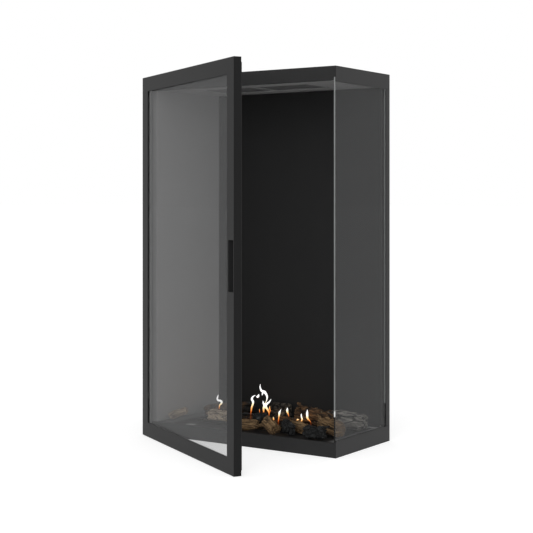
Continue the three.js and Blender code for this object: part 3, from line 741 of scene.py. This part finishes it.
keptNodes = {
    "base_plate": outerBlack,
    "left_insulation": boardMaterial,
    "back_insulation": boardMaterial,
    "side_glass_seal": tapeMaterial,
    "door_edge_seal": tapeMaterial,
}
for nodeName, material in keptNodes.items():
    node = frame["nodes"][nodeName]
    node.data.materials.clear()
    node.data.materials.append(material)


# panes: polished faces, ground edges with a small arris

arris = {"width": 0.0004, "segments": 2, "flatAngle": 1.0, "polishedFrom": 0.999}


def glassPane(nodeName, thin):
    piece = copyOfNode(nodeName, nodeName + "_pane")
    mergeFlatFaces(piece, arris["flatAngle"])
    addModifier(piece, "BEVEL", {"width": arris["width"], "segments": arris["segments"]})
    piece.data.materials.append(paneMaterial)
    piece.data.materials.append(edgeMaterial)
    for face in piece.data.polygons:
        polished = abs(face.normal.dot(thin)) > arris["polishedFrom"]
        face.material_index = 0 if polished else 1
    standsFor(piece, nodeName)


doorAngle = math.radians(30)
glassPane("side_glass", Vector((1, 0, 0)))
glassPane("door_glass", Vector((math.sin(doorAngle), math.cos(doorAngle), 0)))
print("panes are cut")


# ceramic logs: a copy of the rough bar is split to flat faces, gets its broken stubs, and then its grain

woods = {
    "pale_wood": {"ridge": rgb(0.52, 0.43, 0.32), "mid": rgb(0.33, 0.26, 0.18),
                  "deep": rgb(0.11, 0.083, 0.058)},
    "ash_wood": {"ridge": rgb(0.34, 0.32, 0.285), "mid": rgb(0.20, 0.188, 0.168),
                 "deep": rgb(0.06, 0.056, 0.05)},
    "olive_wood": {"ridge": rgb(0.30, 0.195, 0.098), "mid": rgb(0.135, 0.084, 0.042),
                   "deep": rgb(0.026, 0.016, 0.009)},
    "red_bark": {"ridge": rgb(0.150, 0.090, 0.045), "mid": rgb(0.075, 0.042, 0.021),
                 "deep": rgb(0.016, 0.009, 0.006)},
    "grey_bark": {"ridge": rgb(0.19, 0.165, 0.13), "mid": rgb(0.105, 0.092, 0.074),
                  "deep": rgb(0.028, 0.025, 0.022)},
    "charcoal": {"ridge": rgb(0.095, 0.102, 0.104), "mid": rgb(0.031, 0.034, 0.035),
                 "deep": rgb(0.006, 0.0065, 0.0068)},
}
charTones = {"ash": rgb(0.085, 0.088, 0.088), "mid": rgb(0.022, 0.023, 0.023),
             "deep": rgb(0.005, 0.005, 0.005)}


def woodMaterial(name):
    look = woods[name]
    wood = Shader(name)
    place = wood.node("Attribute", {"attribute_name": "grainPlace"}, out="Vector")
    crevice = wood.node("Attribute", {"attribute_name": "crevice"}, out="Fac")
    burnt = wood.node("Attribute", {"attribute_name": "burnt"}, out="Fac")
    along = wood.node("Mapping", {}, {"Vector": place, "Scale": (0.1, 1.0, 1.0)})
    streak = wood.noise(along, 300.0, 6.0, 0.65)
    fibre = wood.noise(along, 1300.0, 3.0, 0.6)
    cloud = wood.noise(place, 42.0, 5.0, 0.62)
    cinder = wood.noise(place, 210.0, 5.0, 0.62)
    ash = wood.noise(place, 95.0, 3.0, 0.5)
    tone = wood.level(0.6 * streak + 0.25 * fibre + 0.15 * cloud, 0.4, 0.6)
    colour = wood.blendColour(wood.level(tone, 0.0, 0.55), look["deep"], look["mid"])
    colour = wood.blendColour(wood.level(tone, 0.5, 1.0), colour, look["ridge"])
    char = wood.blendColour(wood.level(cinder, 0.36, 0.6), charTones["deep"], charTones["mid"])
    char = wood.blendColour(wood.level(ash, 0.6, 0.74) * 0.7, char, charTones["ash"])
    charring = wood.level(burnt + 0.9 * (cloud - 0.5) + 0.35 * (cinder - 0.5), 0.32, 0.62)
    colour = wood.blendColour(charring, colour, char)
    # painted shade: grooves and cracks darken toward the deep tone
    colour = wood.blendColour(wood.level(crevice, 0.12, 0.85) * 0.92, colour, charTones["deep"])
    height = streak + 0.4 * fibre + 0.35 * cinder * burnt
    return wood.principled({
        "Base Color": colour,
        "Roughness": wood.level(streak, 0.3, 0.7, 0.74, 0.97),
        "Specular IOR Level": 0.25,
        "Normal": wood.bump(height, 0.0007),
    })


paleWood = woodMaterial("pale_wood")
oliveWood = woodMaterial("olive_wood")
redBark = woodMaterial("red_bark")
greyBark = woodMaterial("grey_bark")
ashWood = woodMaterial("ash_wood")
charcoal = woodMaterial("charcoal")

# relief in metres; spans are the size of a groove or block along and across the grain
reliefs = {
    "split": {"groove": 0.0024, "grooveSpan": (0.075, 0.0085), "fibre": 0.0007, "lump": 0.0016,
              "step": 0.0022, "stepSpan": (0.05, 0.013), "block": 0.0, "torn": 0.0062},
    "bark": {"groove": 0.0020, "grooveSpan": (0.06, 0.009), "fibre": 0.0006, "lump": 0.0024,
             "step": 0.0018, "stepSpan": (0.05, 0.012), "block": 0.0012, "blockSpan": (0.06, 0.016),
             "torn": 0.0060},
    "char": {"groove": 0.0008, "grooveSpan": (0.04, 0.012), "fibre": 0.0006, "lump": 0.0030,
             "step": 0.0012, "stepSpan": (0.02, 0.012), "block": 0.0026, "blockSpan": (0.016, 0.013),
             "torn": 0.0055},
}
# what all reliefs share; wander is how far and how often the grain turns aside, and then up
carving = {
    "wander": ((0.0035, 45), (0.0025, 60)), "grooveEdge": 4.5, "grooveShade": 0.8, "deepGroove": 0.0012,
    "fibreSpan": (0.03, 0.0026), "lumpSpan": (0.03, 0.024), "terraces": 3, "crackEdge": 4.5,
    "blockLift": 0.35, "tornFrom": 0.72, "tornRates": (130, 330),
}
# facets: direction round the grain in degrees (0 back, 90 up, 180 front), depth as a share of the half
# width, slant along the grain; burnt: at the left end and at the right end
castings = {
    "log_right_rear": {"wood": ashWood, "relief": "bark", "swell": 1.08, "burnt": (0.3, 0.0), "seed": 1,
                       "facets": [(95, 0.80, 0.05), (165, 0.86, 0.0)]},
    "log_leaning": {"wood": redBark, "relief": "bark", "swell": 1.12, "burnt": (0.15, 0.3), "seed": 2,
                    "facets": [(130, 0.80, -0.05), (200, 0.86, 0.0)]},
    "log_back_centre": {"wood": greyBark, "relief": "char", "swell": 1.08, "burnt": (0.75, 0.42), "seed": 3,
                        "facets": [(110, 0.82, 0.1), (190, 0.85, -0.1)]},
    "log_back_left": {"wood": redBark, "relief": "bark", "swell": 1.1, "burnt": (0.3, 0.62), "seed": 4,
                      "facets": [(120, 0.8, 0.0), (60, 0.86, 0.06)]},
    "log_left_stick": {"wood": paleWood, "relief": "split", "swell": 1.06, "burnt": (0.05, 0.1), "seed": 5,
                       "facets": [(100, 0.66, 0.0), (190, 0.7, 0.0), (20, 0.75, 0.0)]},
    "log_left_block": {"wood": paleWood, "relief": "split", "swell": 1.1, "burnt": (0.1, 0.05), "seed": 6,
                       "facets": [(170, 0.72, 0.0), (85, 0.78, 0.05), (250, 0.8, 0.0)]},
    "log_front_left": {"wood": oliveWood, "relief": "split", "swell": 1.08, "burnt": (0.0, 0.32), "seed": 7,
                       "facets": [(142, 0.62, 0.08), (55, 0.74, -0.05), (222, 0.8, 0.0)]},
    "char_front_left": {"wood": charcoal, "relief": "char", "swell": 1.16, "burnt": (1.0, 0.9), "seed": 8,
                        "facets": [(25, 0.82, 0.2), (95, 0.84, -0.15), (160, 0.84, 0.2), (225, 0.86, -0.1)]},
    "log_front_centre": {"wood": oliveWood, "relief": "split", "swell": 1.2, "burnt": (0.12, 0.0), "seed": 9,
                         "facets": [(128, 0.62, 0.0), (200, 0.74, 0.06), (52, 0.56, 0.05)]},
    "char_front_centre": {"wood": charcoal, "relief": "char", "swell": 1.1, "burnt": (1.0, 1.0), "seed": 10,
                          "facets": [(15, 0.84, -0.2), (85, 0.82, 0.2), (150, 0.86, -0.1),
                                     (215, 0.84, 0.25)]},
    "log_front_right": {"wood": oliveWood, "relief": "split", "swell": 1.18, "burnt": (0.3, 0.05), "seed": 11,
                        "facets": [(118, 0.64, -0.05), (188, 0.7, 0.05), (50, 0.76, 0.0)]},
    "char_front_right": {"wood": charcoal, "relief": "char", "swell": 1.04, "burnt": (0.95, 1.0), "seed": 12,
                         "facets": [(30, 0.86, 0.15), (110, 0.8, 0.3), (170, 0.86, -0.2), (230, 0.88, 0.1)]},
    "log_right": {"wood": oliveWood, "relief": "split", "swell": 1.14, "burnt": (0.12, 0.0), "seed": 13,
                  "facets": [(108, 0.72, -0.08), (172, 0.68, 0.04), (30, 0.8, 0.0)]},
}
# broken stubs: log, foot, tip, radius at the foot and at the tip
stubs = [
    ("log_right", (0.216, -0.066, 0.074), (0.200, -0.060, 0.091), 0.007, 0.0012),
    ("log_front_centre", (0.062, -0.106, 0.058), (0.036, -0.118, 0.051), 0.009, 0.002),
    ("log_leaning", (0.100, 0.010, 0.082), (0.086, 0.030, 0.097), 0.011, 0.004),
    ("char_front_right", (0.236, -0.114, 0.062), (0.258, -0.098, 0.070), 0.011, 0.003),
]
castingVoxel = 0.0012
castingFloor = 0.0387          # nothing of a log reaches below this level
castingSmooth = 38


def grainAxes(piece):
    points = np.array([vertex.co for vertex in piece.data.vertices])
    centre = (points.max(0) + points.min(0)) / 2
    along = np.linalg.svd(points - points.mean(0), full_matrices=False)[2][0]
    along = along if along[0] > 0 else -along
    side = np.cross((0, 0, 1), along)
    side /= np.linalg.norm(side)
    return centre, np.array([along, side, np.cross(along, side)])


def splitFaces(piece, centre, axes, look):
    mesh = piece.data
    points = np.array([vertex.co for vertex in mesh.vertices])
    local = (points - centre) @ axes.T
    local[:, 1:] *= look["swell"]
    mesh.vertices.foreach_set("co", (centre + local @ axes).astype(np.float32).ravel())
    for turn, depth, slant in look["facets"]:
        angle = math.radians(turn)
        normal = math.cos(angle) * axes[1] + math.sin(angle) * axes[2] + slant * axes[0]
        normal /= np.linalg.norm(normal)
        reach = (local @ axes @ normal).max() * depth
        editOn(piece)
        bpy.ops.mesh.select_all(action="SELECT")
        bpy.ops.mesh.bisect(plane_co=centre + normal * reach, plane_no=normal, use_fill=True,
                            clear_outer=True)
        editOff()


def addStubs(piece, nodeName):
    for owner, foot, tip, footRadius, tipRadius in stubs:
        if owner != nodeName:
            continue
        way = Vector(tip) - Vector(foot)
        turn = way.to_track_quat("Z", "Y").to_euler()
        deselectAll()
        bpy.ops.mesh.primitive_cone_add(vertices=9, radius1=footRadius, radius2=tipRadius,
                                        depth=way.length, location=Vector(foot) + way / 2, rotation=turn)
        stub = newest(nodeName + "_stub")
        applyPlace(stub)
        makeActive(piece)
        stub.select_set(True)
        bpy.ops.object.join()


def spotOf(place, spans, shift):
    return Vector((place[0] / spans[0], place[1] / spans[1], place[2] / spans[1])) + shift


def carve(piece, centre, axes, look):
    relief = reliefs[look["relief"]]
    mesh = piece.data
    count = len(mesh.vertices)
    points = np.empty(count * 3, np.float32)
    mesh.vertices.foreach_get("co", points)
    points = points.reshape(-1, 3).astype(float)
    normals = np.array([vertex.normal for vertex in mesh.vertices])
    local = (points - centre) @ axes.T
    half = np.abs(local[:, 0]).max()
    shift = Vector((look["seed"] * 1.7, look["seed"] * 2.9, look["seed"] * 0.7))
    crevices = np.zeros(count)
    (asideReach, asideRate), (upReach, upRate) = carving["wander"]
    coarse, fine = carving["tornRates"]
    # painted shade in the grooves, stronger for deeper grooves
    shade = carving["grooveShade"] * min(1.0, relief["groove"] / carving["deepGroove"])
    for index in range(count):
        along, aside, up = local[index]
        aside += asideReach * math.sin(along * asideRate + look["seed"])
        up += upReach * math.sin(along * upRate + 2 * look["seed"])
        place = (along, aside, up)
        ridge = abs(noise.noise(spotOf(place, relief["grooveSpan"], shift)))
        groove = max(0.0, 1 - ridge * carving["grooveEdge"]) ** 2
        fibre = noise.noise(spotOf(place, carving["fibreSpan"], shift))
        step = noise.noise(spotOf(place, relief["stepSpan"], shift * 2))
        terrace = round(carving["terraces"] * step) / carving["terraces"]
        lump = noise.fractal(spotOf(place, carving["lumpSpan"], shift), 0.8, 2.0, 3)
        crack = 0.0
        lift = 0.0
        if relief["block"]:
            reach, seeds = noise.voronoi(spotOf(place, relief["blockSpan"], shift))
            crack = max(0.0, 1 - (reach[1] - reach[0]) * carving["crackEdge"])
            lift = noise.cell(seeds[0] * 7.0)
        height = relief["fibre"] * fibre + relief["step"] * terrace + relief["lump"] * lump
        height += relief["block"] * (carving["blockLift"] * lift - crack) - relief["groove"] * groove
        edge = max(0.0, abs(along) / half - carving["tornFrom"]) / (1 - carving["tornFrom"])
        torn = noise.noise(Vector((aside * coarse, up * coarse, look["seed"])))
        torn += 0.5 * noise.noise(Vector((aside * fine, up * fine, 4)))
        points[index] += normals[index] * height
        # the ends are torn along the grain
        points[index] += axes[0] * (math.copysign(1, along) * edge * relief["torn"] * torn)
        crevices[index] = min(1.0, shade * groove + crack)
    points[:, 2] = np.maximum(points[:, 2], castingFloor)
    share = (local[:, 0] / half + 1) / 2
    mesh.vertices.foreach_set("co", points.astype(np.float32).ravel())
    grain = local + np.array(shift) * 0.05
    addAttribute(mesh, "grainPlace", "FLOAT_VECTOR", grain)
    addAttribute(mesh, "crevice", "FLOAT", crevices)
    addAttribute(mesh, "burnt", "FLOAT", look["burnt"][0] + (look["burnt"][1] - look["burnt"][0]) * share)
    mesh.update()


def addAttribute(mesh, name, kind, values):
    made = mesh.attributes.new(name, kind, "POINT")
    made.data.foreach_set("vector" if kind == "FLOAT_VECTOR" else "value", values.astype(np.float32).ravel())


def casting(nodeName, look):
    piece = copyOfNode(nodeName, nodeName + "_casting")
    centre, axes = grainAxes(piece)
    splitFaces(piece, centre, axes, look)
    addStubs(piece, nodeName)
    addModifier(piece, "REMESH", {"mode": "VOXEL", "voxel_size": castingVoxel})
    carve(piece, centre, axes, look)
    smoothByAngle(piece, castingSmooth)
    standsFor(piece, nodeName, look["wood"])


for nodeName, look in castings.items():
    casting(nodeName, look)
print("logs are cast")


# ember bed, and the loose rubble and bark that lie on it

bed = {"voxel": 0.0024, "height": 0.0016, "topFrom": 0.5, "lumpRate": 120, "pebbleRate": 170,
       "smoothAngle": 60}


def emberMaterial():
    ash = Shader("embers")
    place = ash.objectPlace()
    tint = ash.node("Attribute", {"attribute_name": "tint"}, out="Fac")
    crumbs = ash.cells(place, 210.0)
    patches = ash.noise(place, 38.0, 5.0, 0.6)
    fine = ash.noise(place, 600.0, 4.0, 0.65)
    tone = ash.level(0.6 * patches + 0.4 * crumbs, 0.3, 0.62)
    colour = ash.blendColour(tone, rgb(0.005, 0.0048, 0.0045), rgb(0.030, 0.024, 0.020))
    colour = ash.blendColour(ash.level(fine, 0.58, 0.75) * 0.5, colour, rgb(0.07, 0.062, 0.054))
    stops = [(0.0, rgb(0.006, 0.006, 0.006)), (0.3, rgb(0.02, 0.019, 0.018)), (0.5, rgb(0.052, 0.026, 0.014)),
             (0.75, rgb(0.095, 0.058, 0.032)), (1.0, rgb(0.24, 0.19, 0.12))]
    chip = ash.blendColour(ash.level(fine, 0.35, 0.65) * 0.5, ash.ramp(tint, stops), rgb(0.004, 0.004, 0.004))
    colour = ash.blendColour(ash.level(tint, 0.0, 0.02), colour, chip)
    return ash.principled({
        "Base Color": colour,
        "Roughness": 0.8 + 0.18 * fine,
        "Specular IOR Level": 0.25,
        "Normal": ash.bump(crumbs + 0.4 * fine, 0.0009),
    })


embersMaterial = emberMaterial()


def emberBed():
    piece = copyOfNode("ember_bed", "ember_bed_heap")
    addModifier(piece, "REMESH", {"mode": "VOXEL", "voxel_size": bed["voxel"]})
    for vertex in piece.data.vertices:
        if vertex.normal.z > bed["topFrom"]:
            lumps = noise.fractal(vertex.co * bed["lumpRate"], 0.9, 2.0, 4)
            pebbles = noise.voronoi(vertex.co * bed["pebbleRate"])[0][0]
            vertex.co.z += bed["height"] * (min(lumps, 0.8) + 0.8 * (0.5 - pebbles))
    addAttribute(piece.data, "tint", "FLOAT", np.zeros(len(piece.data.vertices)))
    piece.data.update()
    smoothByAngle(piece, bed["smoothAngle"])
    standsFor(piece, "ember_bed", embersMaterial)


# what is scattered: how many, over which part of the bed, its size, its proportions and its tints
litter = {
    "ember_rubble": {"seed": 11, "count": 330, "from": (-0.192, -0.070), "to": (0.202, 0.050),
                     "size": (0.0028, 0.0066), "long": (0.8, 1.5), "flat": (0.5, 0.9),
                     "tints": (0.03, 0.52), "onLogs": 0.06},
    "bark_splinters": {"seed": 5, "count": 95, "from": (-0.19, -0.066), "to": (0.200, 0.062),
                       "size": (0.0034, 0.0056), "long": (1.6, 3.6), "flat": (0.3, 0.6),
                       "tints": (0.3, 0.8), "onLogs": 0.25},
    "vermiculite": {"seed": 8, "count": 60, "from": (-0.185, -0.066), "to": (0.196, 0.046),
                    "size": (0.0016, 0.0028), "long": (0.8, 1.3), "flat": (0.5, 1.0),
                    "tints": (0.75, 1.0), "onLogs": 0.1},
}
# chips drop from above the logs, rest on slopes that are level enough, and lie a little tilted
resting = {"dropFrom": 0.125, "levelEnough": 0.45, "lift": 0.3, "tilt": 0.45}


def restingPlace(layer, x, y):
    start = Vector((x, y, resting["dropFrom"]))
    hit, spot, normal, _, found, _ = scene.ray_cast(layer, start, Vector((0, 0, -1)))
    return spot, normal, found.name if hit else ""


def chipMesh(name, size, look):
    deselectAll()
    bpy.ops.mesh.primitive_ico_sphere_add(subdivisions=1, radius=size)
    chip = newest(name)
    stretch = Vector((random.uniform(*look["long"]), 1, random.uniform(*look["flat"])))
    for vertex in chip.data.vertices:
        vertex.co = Vector(a * b for a, b in zip(vertex.co, stretch)) * random.uniform(0.72, 1.22)
    return chip


def scatter(name, look):
    random.seed(look["seed"])
    bpy.context.view_layer.update()
    layer = bpy.context.evaluated_depsgraph_get()
    places = []
    while len(places) < look["count"]:
        x = random.uniform(look["from"][0], look["to"][0])
        y = random.uniform(look["from"][1], look["to"][1])
        spot, normal, found = restingPlace(layer, x, y)
        onLog = "casting" in found
        draw = random.random()
        kept = found.startswith("ember_bed") or (onLog and draw < look["onLogs"])
        if kept and normal.z > resting["levelEnough"]:
            places.append((spot, normal))
    chips = []
    for number, (spot, normal) in enumerate(places):
        size = random.uniform(*look["size"])
        chip = chipMesh(name + "_" + str(number), size, look)
        turn = normal.to_track_quat("Z", "Y").to_matrix().to_4x4()
        turn = turn @ Matrix.Rotation(random.uniform(0, 2 * math.pi), 4, "Z")
        tilt = Matrix.Rotation(random.uniform(-resting["tilt"], resting["tilt"]), 4, "X")
        chip.data.transform(Matrix.Translation(spot + normal * size * resting["lift"]) @ turn @ tilt)
        tint = random.uniform(*look["tints"])
        addAttribute(chip.data, "tint", "FLOAT", np.full(len(chip.data.vertices), tint))
        chips.append(chip)
    piece = joinAll(chips, name)
    applyPlace(piece)
    piece.data.materials.append(embersMaterial)
    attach(piece, "cabinet")


# a broken piece of bark that lies in the middle of the bed
barkChunk = {"low": (0.018, -0.022, 0.040), "high": (0.088, 0.020, 0.063), "swell": 1.0, "seed": 14,
             "relief": "bark", "burnt": (0.55, 0.1),
             "facets": [(70, 0.7, 0.3), (120, 0.72, -0.25), (190, 0.8, 0.1)]}


def chunk():
    low, high = Vector(barkChunk["low"]), Vector(barkChunk["high"])
    deselectAll()
    bpy.ops.mesh.primitive_cylinder_add(vertices=12, radius=0.5, depth=1.0)
    piece = newest("bark_chunk")
    size = high - low
    upright = Matrix.Rotation(math.radians(90), 4, "Y")
    piece.data.transform(Matrix.Translation((low + high) / 2) @ Matrix.Diagonal((*size, 1)) @ upright)
    centre, axes = grainAxes(piece)
    splitFaces(piece, centre, axes, barkChunk)
    addModifier(piece, "REMESH", {"mode": "VOXEL", "voxel_size": castingVoxel})
    carve(piece, centre, axes, barkChunk)
    smoothByAngle(piece, castingSmooth)
    piece.data.materials.append(redBark)
    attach(piece, "cabinet")


emberBed()
chunk()
for name, look in litter.items():
    scatter(name, look)
print("ember bed is laid")


# flames: tapered tongues, white at the top and orange at the foot

flameTones = [(0.0, rgb(0.16, 0.018, 0.002)), (0.2, rgb(0.55, 0.12, 0.02)), (0.4, rgb(0.95, 0.42, 0.11)),
              (0.6, rgb(1.0, 0.82, 0.48)), (0.78, rgb(1.0, 1.0, 0.94)), (1.0, rgb(1, 1, 1))]
flameLook = {"strength": 1.3, "across": (0.831, 0.556), "stemLevel": 0.0425, "stemRadius": 0.5,
             "stemWarmth": 0.05, "groundedBelow": 10, "whitening": 1.2, "smoothAngle": 80}
millimetre = 0.001
tallFoot = (-0.014, 0.024, 0.060)
leftFoot = (-0.057, 0.001, 0.060)
# each tongue: the point it is measured from, how hot it looks at its foot and at its tip, from 0 for
# dull orange to 1 for white, and its stations (sideways, up, radius) in millimetres from that point
tongues = {
    "flame_tall": (tallFoot, 0.62, 1.4, [
        (-9.5, 26, 1.6), (-6, 34, 0.8), (-3.6, 41, 1.5), (-3, 48, 2.3), (-6, 56, 3.0), (-11, 62, 3.6),
        (-17, 64, 3.0), (-21, 70, 2.1), (-22.6, 76, 1.5), (-21.5, 83.4, 0.35)]),
    "flame_tall_tail": (tallFoot, 1.2, 1.4, [(-12, 63, 2.6), (-15.6, 57.5, 2.0), (-17, 52, 0.4)]),
    "flame_right_leg": (tallFoot, 0.18, 1.25, [
        (2.5, -3, 0.9), (2.4, 4, 1.8), (-1.7, 12.8, 2.6), (-7, 22, 3.6), (-3, 29, 2.6), (3, 34, 2.0),
        (8.4, 42, 0.4)]),
    "flame_left_leg": (tallFoot, 0.18, 1.2, [
        (-12.6, 1, 0.8), (-12.6, 8, 2.0), (-12.6, 16.7, 2.6), (-10.5, 24, 3.2), (-13.5, 31, 2.2),
        (-14.5, 37, 0.4)]),
    "flame_side_lick": (tallFoot, 0.1, 0.5, [(3, 2, 0.6), (5.5, 9, 2.0), (4.0, 16, 1.5), (4.5, 22, 0.4)]),
    "flame_thin": ((-0.034, 0.010, 0.061), 0.05, 0.45, [(0, 0, 0.5), (0.4, 7, 1.0), (0, 13.5, 0.3)]),
    "flame_left": (leftFoot, 0.12, 1.25, [
        (0, 0, 0.9), (1.2, 9, 1.7), (3, 19.8, 2.2), (6, 28, 2.3), (6.2, 34, 2.8), (3, 41, 2.8),
        (6, 47.5, 1.9), (12, 52, 0.5)]),
    "flame_drop": (leftFoot, 1.0, 1.2, [
        (11, 51.5, 0.3), (15, 49.5, 0.12), (18.8, 46.2, 2.0), (20.3, 48.4, 3.1), (21.6, 51.6, 2.4),
        (22.2, 55, 0.3)]),
    "flame_centre": ((0.052, -0.025, 0.052), 0.1, 1.1, [
        (0, 0, 1.2), (0.5, 4, 1.6), (1.5, 12, 1.1), (2.5, 20, 2.4), (3.2, 25, 2.7), (6, 31, 0.9),
        (7.5, 34.5, 0.3)]),
    "flame_upright": ((0.057, 0.020, 0.060), 0.15, 1.0, [
        (0, 0, 0.7), (-2, 8, 1.6), (-4, 14, 2.8), (-4.2, 19, 2.7), (-3.5, 25, 0.4)]),
    "flame_small_left": ((0.036, -0.024, 0.057), 0.25, 0.6, [
        (0, -3, 0.6), (0, 0, 1.8), (-0.5, 3, 1.6), (-1, 6.5, 0.3)]),
    "flame_crescent": ((0.109, -0.015, 0.058), 0.05, 0.55, [
        (-3, -6, 0.8), (-4, 0, 1.5), (-1, 4, 1.8), (3.5, 3.6, 0.6)]),
    "flame_right_small": ((0.122, -0.022, 0.0537), 0.2, 1.15, [
        (0, 0, 0.8), (1.5, 5, 1.7), (4, 11, 2.0), (3, 16, 1.8), (2, 22, 1.6), (2.2, 27, 0.3)]),
    "flame_right": ((0.155, -0.024, 0.061), 0.2, 1.35, [
        (0, 0, 0.7), (-4, 5, 1.5), (-8, 10, 2.5), (-9, 17, 2.9), (-9, 26, 2.5), (-8.5, 33.5, 0.4)]),
    "flame_behind_door": ((-0.151, -0.020, 0.065), 0.15, 1.6, [
        (0, 0, 0.7), (0.5, 8, 1.2), (2, 14, 1.8), (6.5, 19, 2.6), (5.5, 25, 2.9), (-3, 27.5, 2.5),
        (-5.2, 31, 2.0), (-4, 38, 1.7), (-2, 43, 0.4)]),
}


def flameMaterial():
    fire = Shader("flame")
    warmth = fire.node("Attribute", {"attribute_name": "warmth"}, out="Fac")
    flicker = fire.noise(fire.objectPlace(), 160.0, 2.0)
    return fire.principled({
        "Base Color": rgb(0, 0, 0),
        "Roughness": 1.0,
        "Specular IOR Level": 0.0,
        "Emission Color": fire.ramp(warmth + 0.1 * (flicker - 0.5), flameTones),
        "Emission Strength": flameLook["strength"],
        "Alpha": fire.level(warmth, 0.0, 0.3, 0.25, 1.0),
    })


flameFire = flameMaterial()


def tongue(name, foot, coolest, hottest, stations):
    grounded = stations[0][1] < flameLook["groundedBelow"]
    drop = (foot[2] - flameLook["stemLevel"]) / millimetre
    stem = [(stations[0][0], -drop, flameLook["stemRadius"])] if grounded else []
    curve = bpy.data.curves.new(name, "CURVE")
    curve.dimensions = "3D"
    curve.bevel_depth = millimetre
    curve.bevel_resolution = 4
    curve.resolution_u = 8
    curve.use_fill_caps = True
    spline = curve.splines.new("BEZIER")
    route = stem + stations
    spline.bezier_points.add(len(route) - 1)
    across = Vector((*flameLook["across"], 0)) * millimetre
    for point, (sideways, up, radius) in zip(spline.bezier_points, route):
        point.co = Vector(foot) + across * sideways + Vector((0, 0, up * millimetre))
        point.radius = radius
        point.handle_left_type = "AUTO"
        point.handle_right_type = "AUTO"
    piece = bpy.data.objects.new(name, curve)
    scene.collection.objects.link(piece)
    makeActive(piece)
    bpy.ops.object.convert(target="MESH")
    piece = newest(name)
    rise = np.array([vertex.co.z for vertex in piece.data.vertices])
    visible = foot[2] + min(up for _, up, _ in stations) * millimetre
    share = np.clip((rise - visible) / (rise.max() - visible), 0, 1) ** flameLook["whitening"]
    warmth = coolest + (hottest - coolest) * share
    warmth = np.where(rise < visible - millimetre, flameLook["stemWarmth"], warmth)
    addAttribute(piece.data, "warmth", "FLOAT", np.minimum(warmth, 1.0))
    piece.data.materials.append(flameFire)
    smoothByAngle(piece, flameLook["smoothAngle"])
    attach(piece, "cabinet")


for name, (foot, coolest, hottest, stations) in tongues.items():
    tongue(name, foot, coolest, hottest, stations)

# warm light of the flames on the logs
glow = {"power": 0.018, "colour": (1.0, 0.55, 0.22), "size": 0.012}
glowLamps = {
    "glow_tall": (-0.005, 0.02, 0.085), "glow_left": (-0.055, 0.0, 0.075),
    "glow_right": (0.14, -0.03, 0.085), "glow_centre": (0.045, 0.0, 0.072),
    "glow_door_side": (-0.15, -0.02, 0.085),
}
for name, place in glowLamps.items():
    deselectAll()
    bpy.ops.object.light_add(type="POINT", location=place)
    lamp = newest(name)
    lamp.data.energy = glow["power"]
    lamp.data.color = glow["colour"]
    lamp.data.shadow_soft_size = glow["size"]
    lamp.visible_camera = False
    lamp.visible_glossy = False
print("fire is lit")
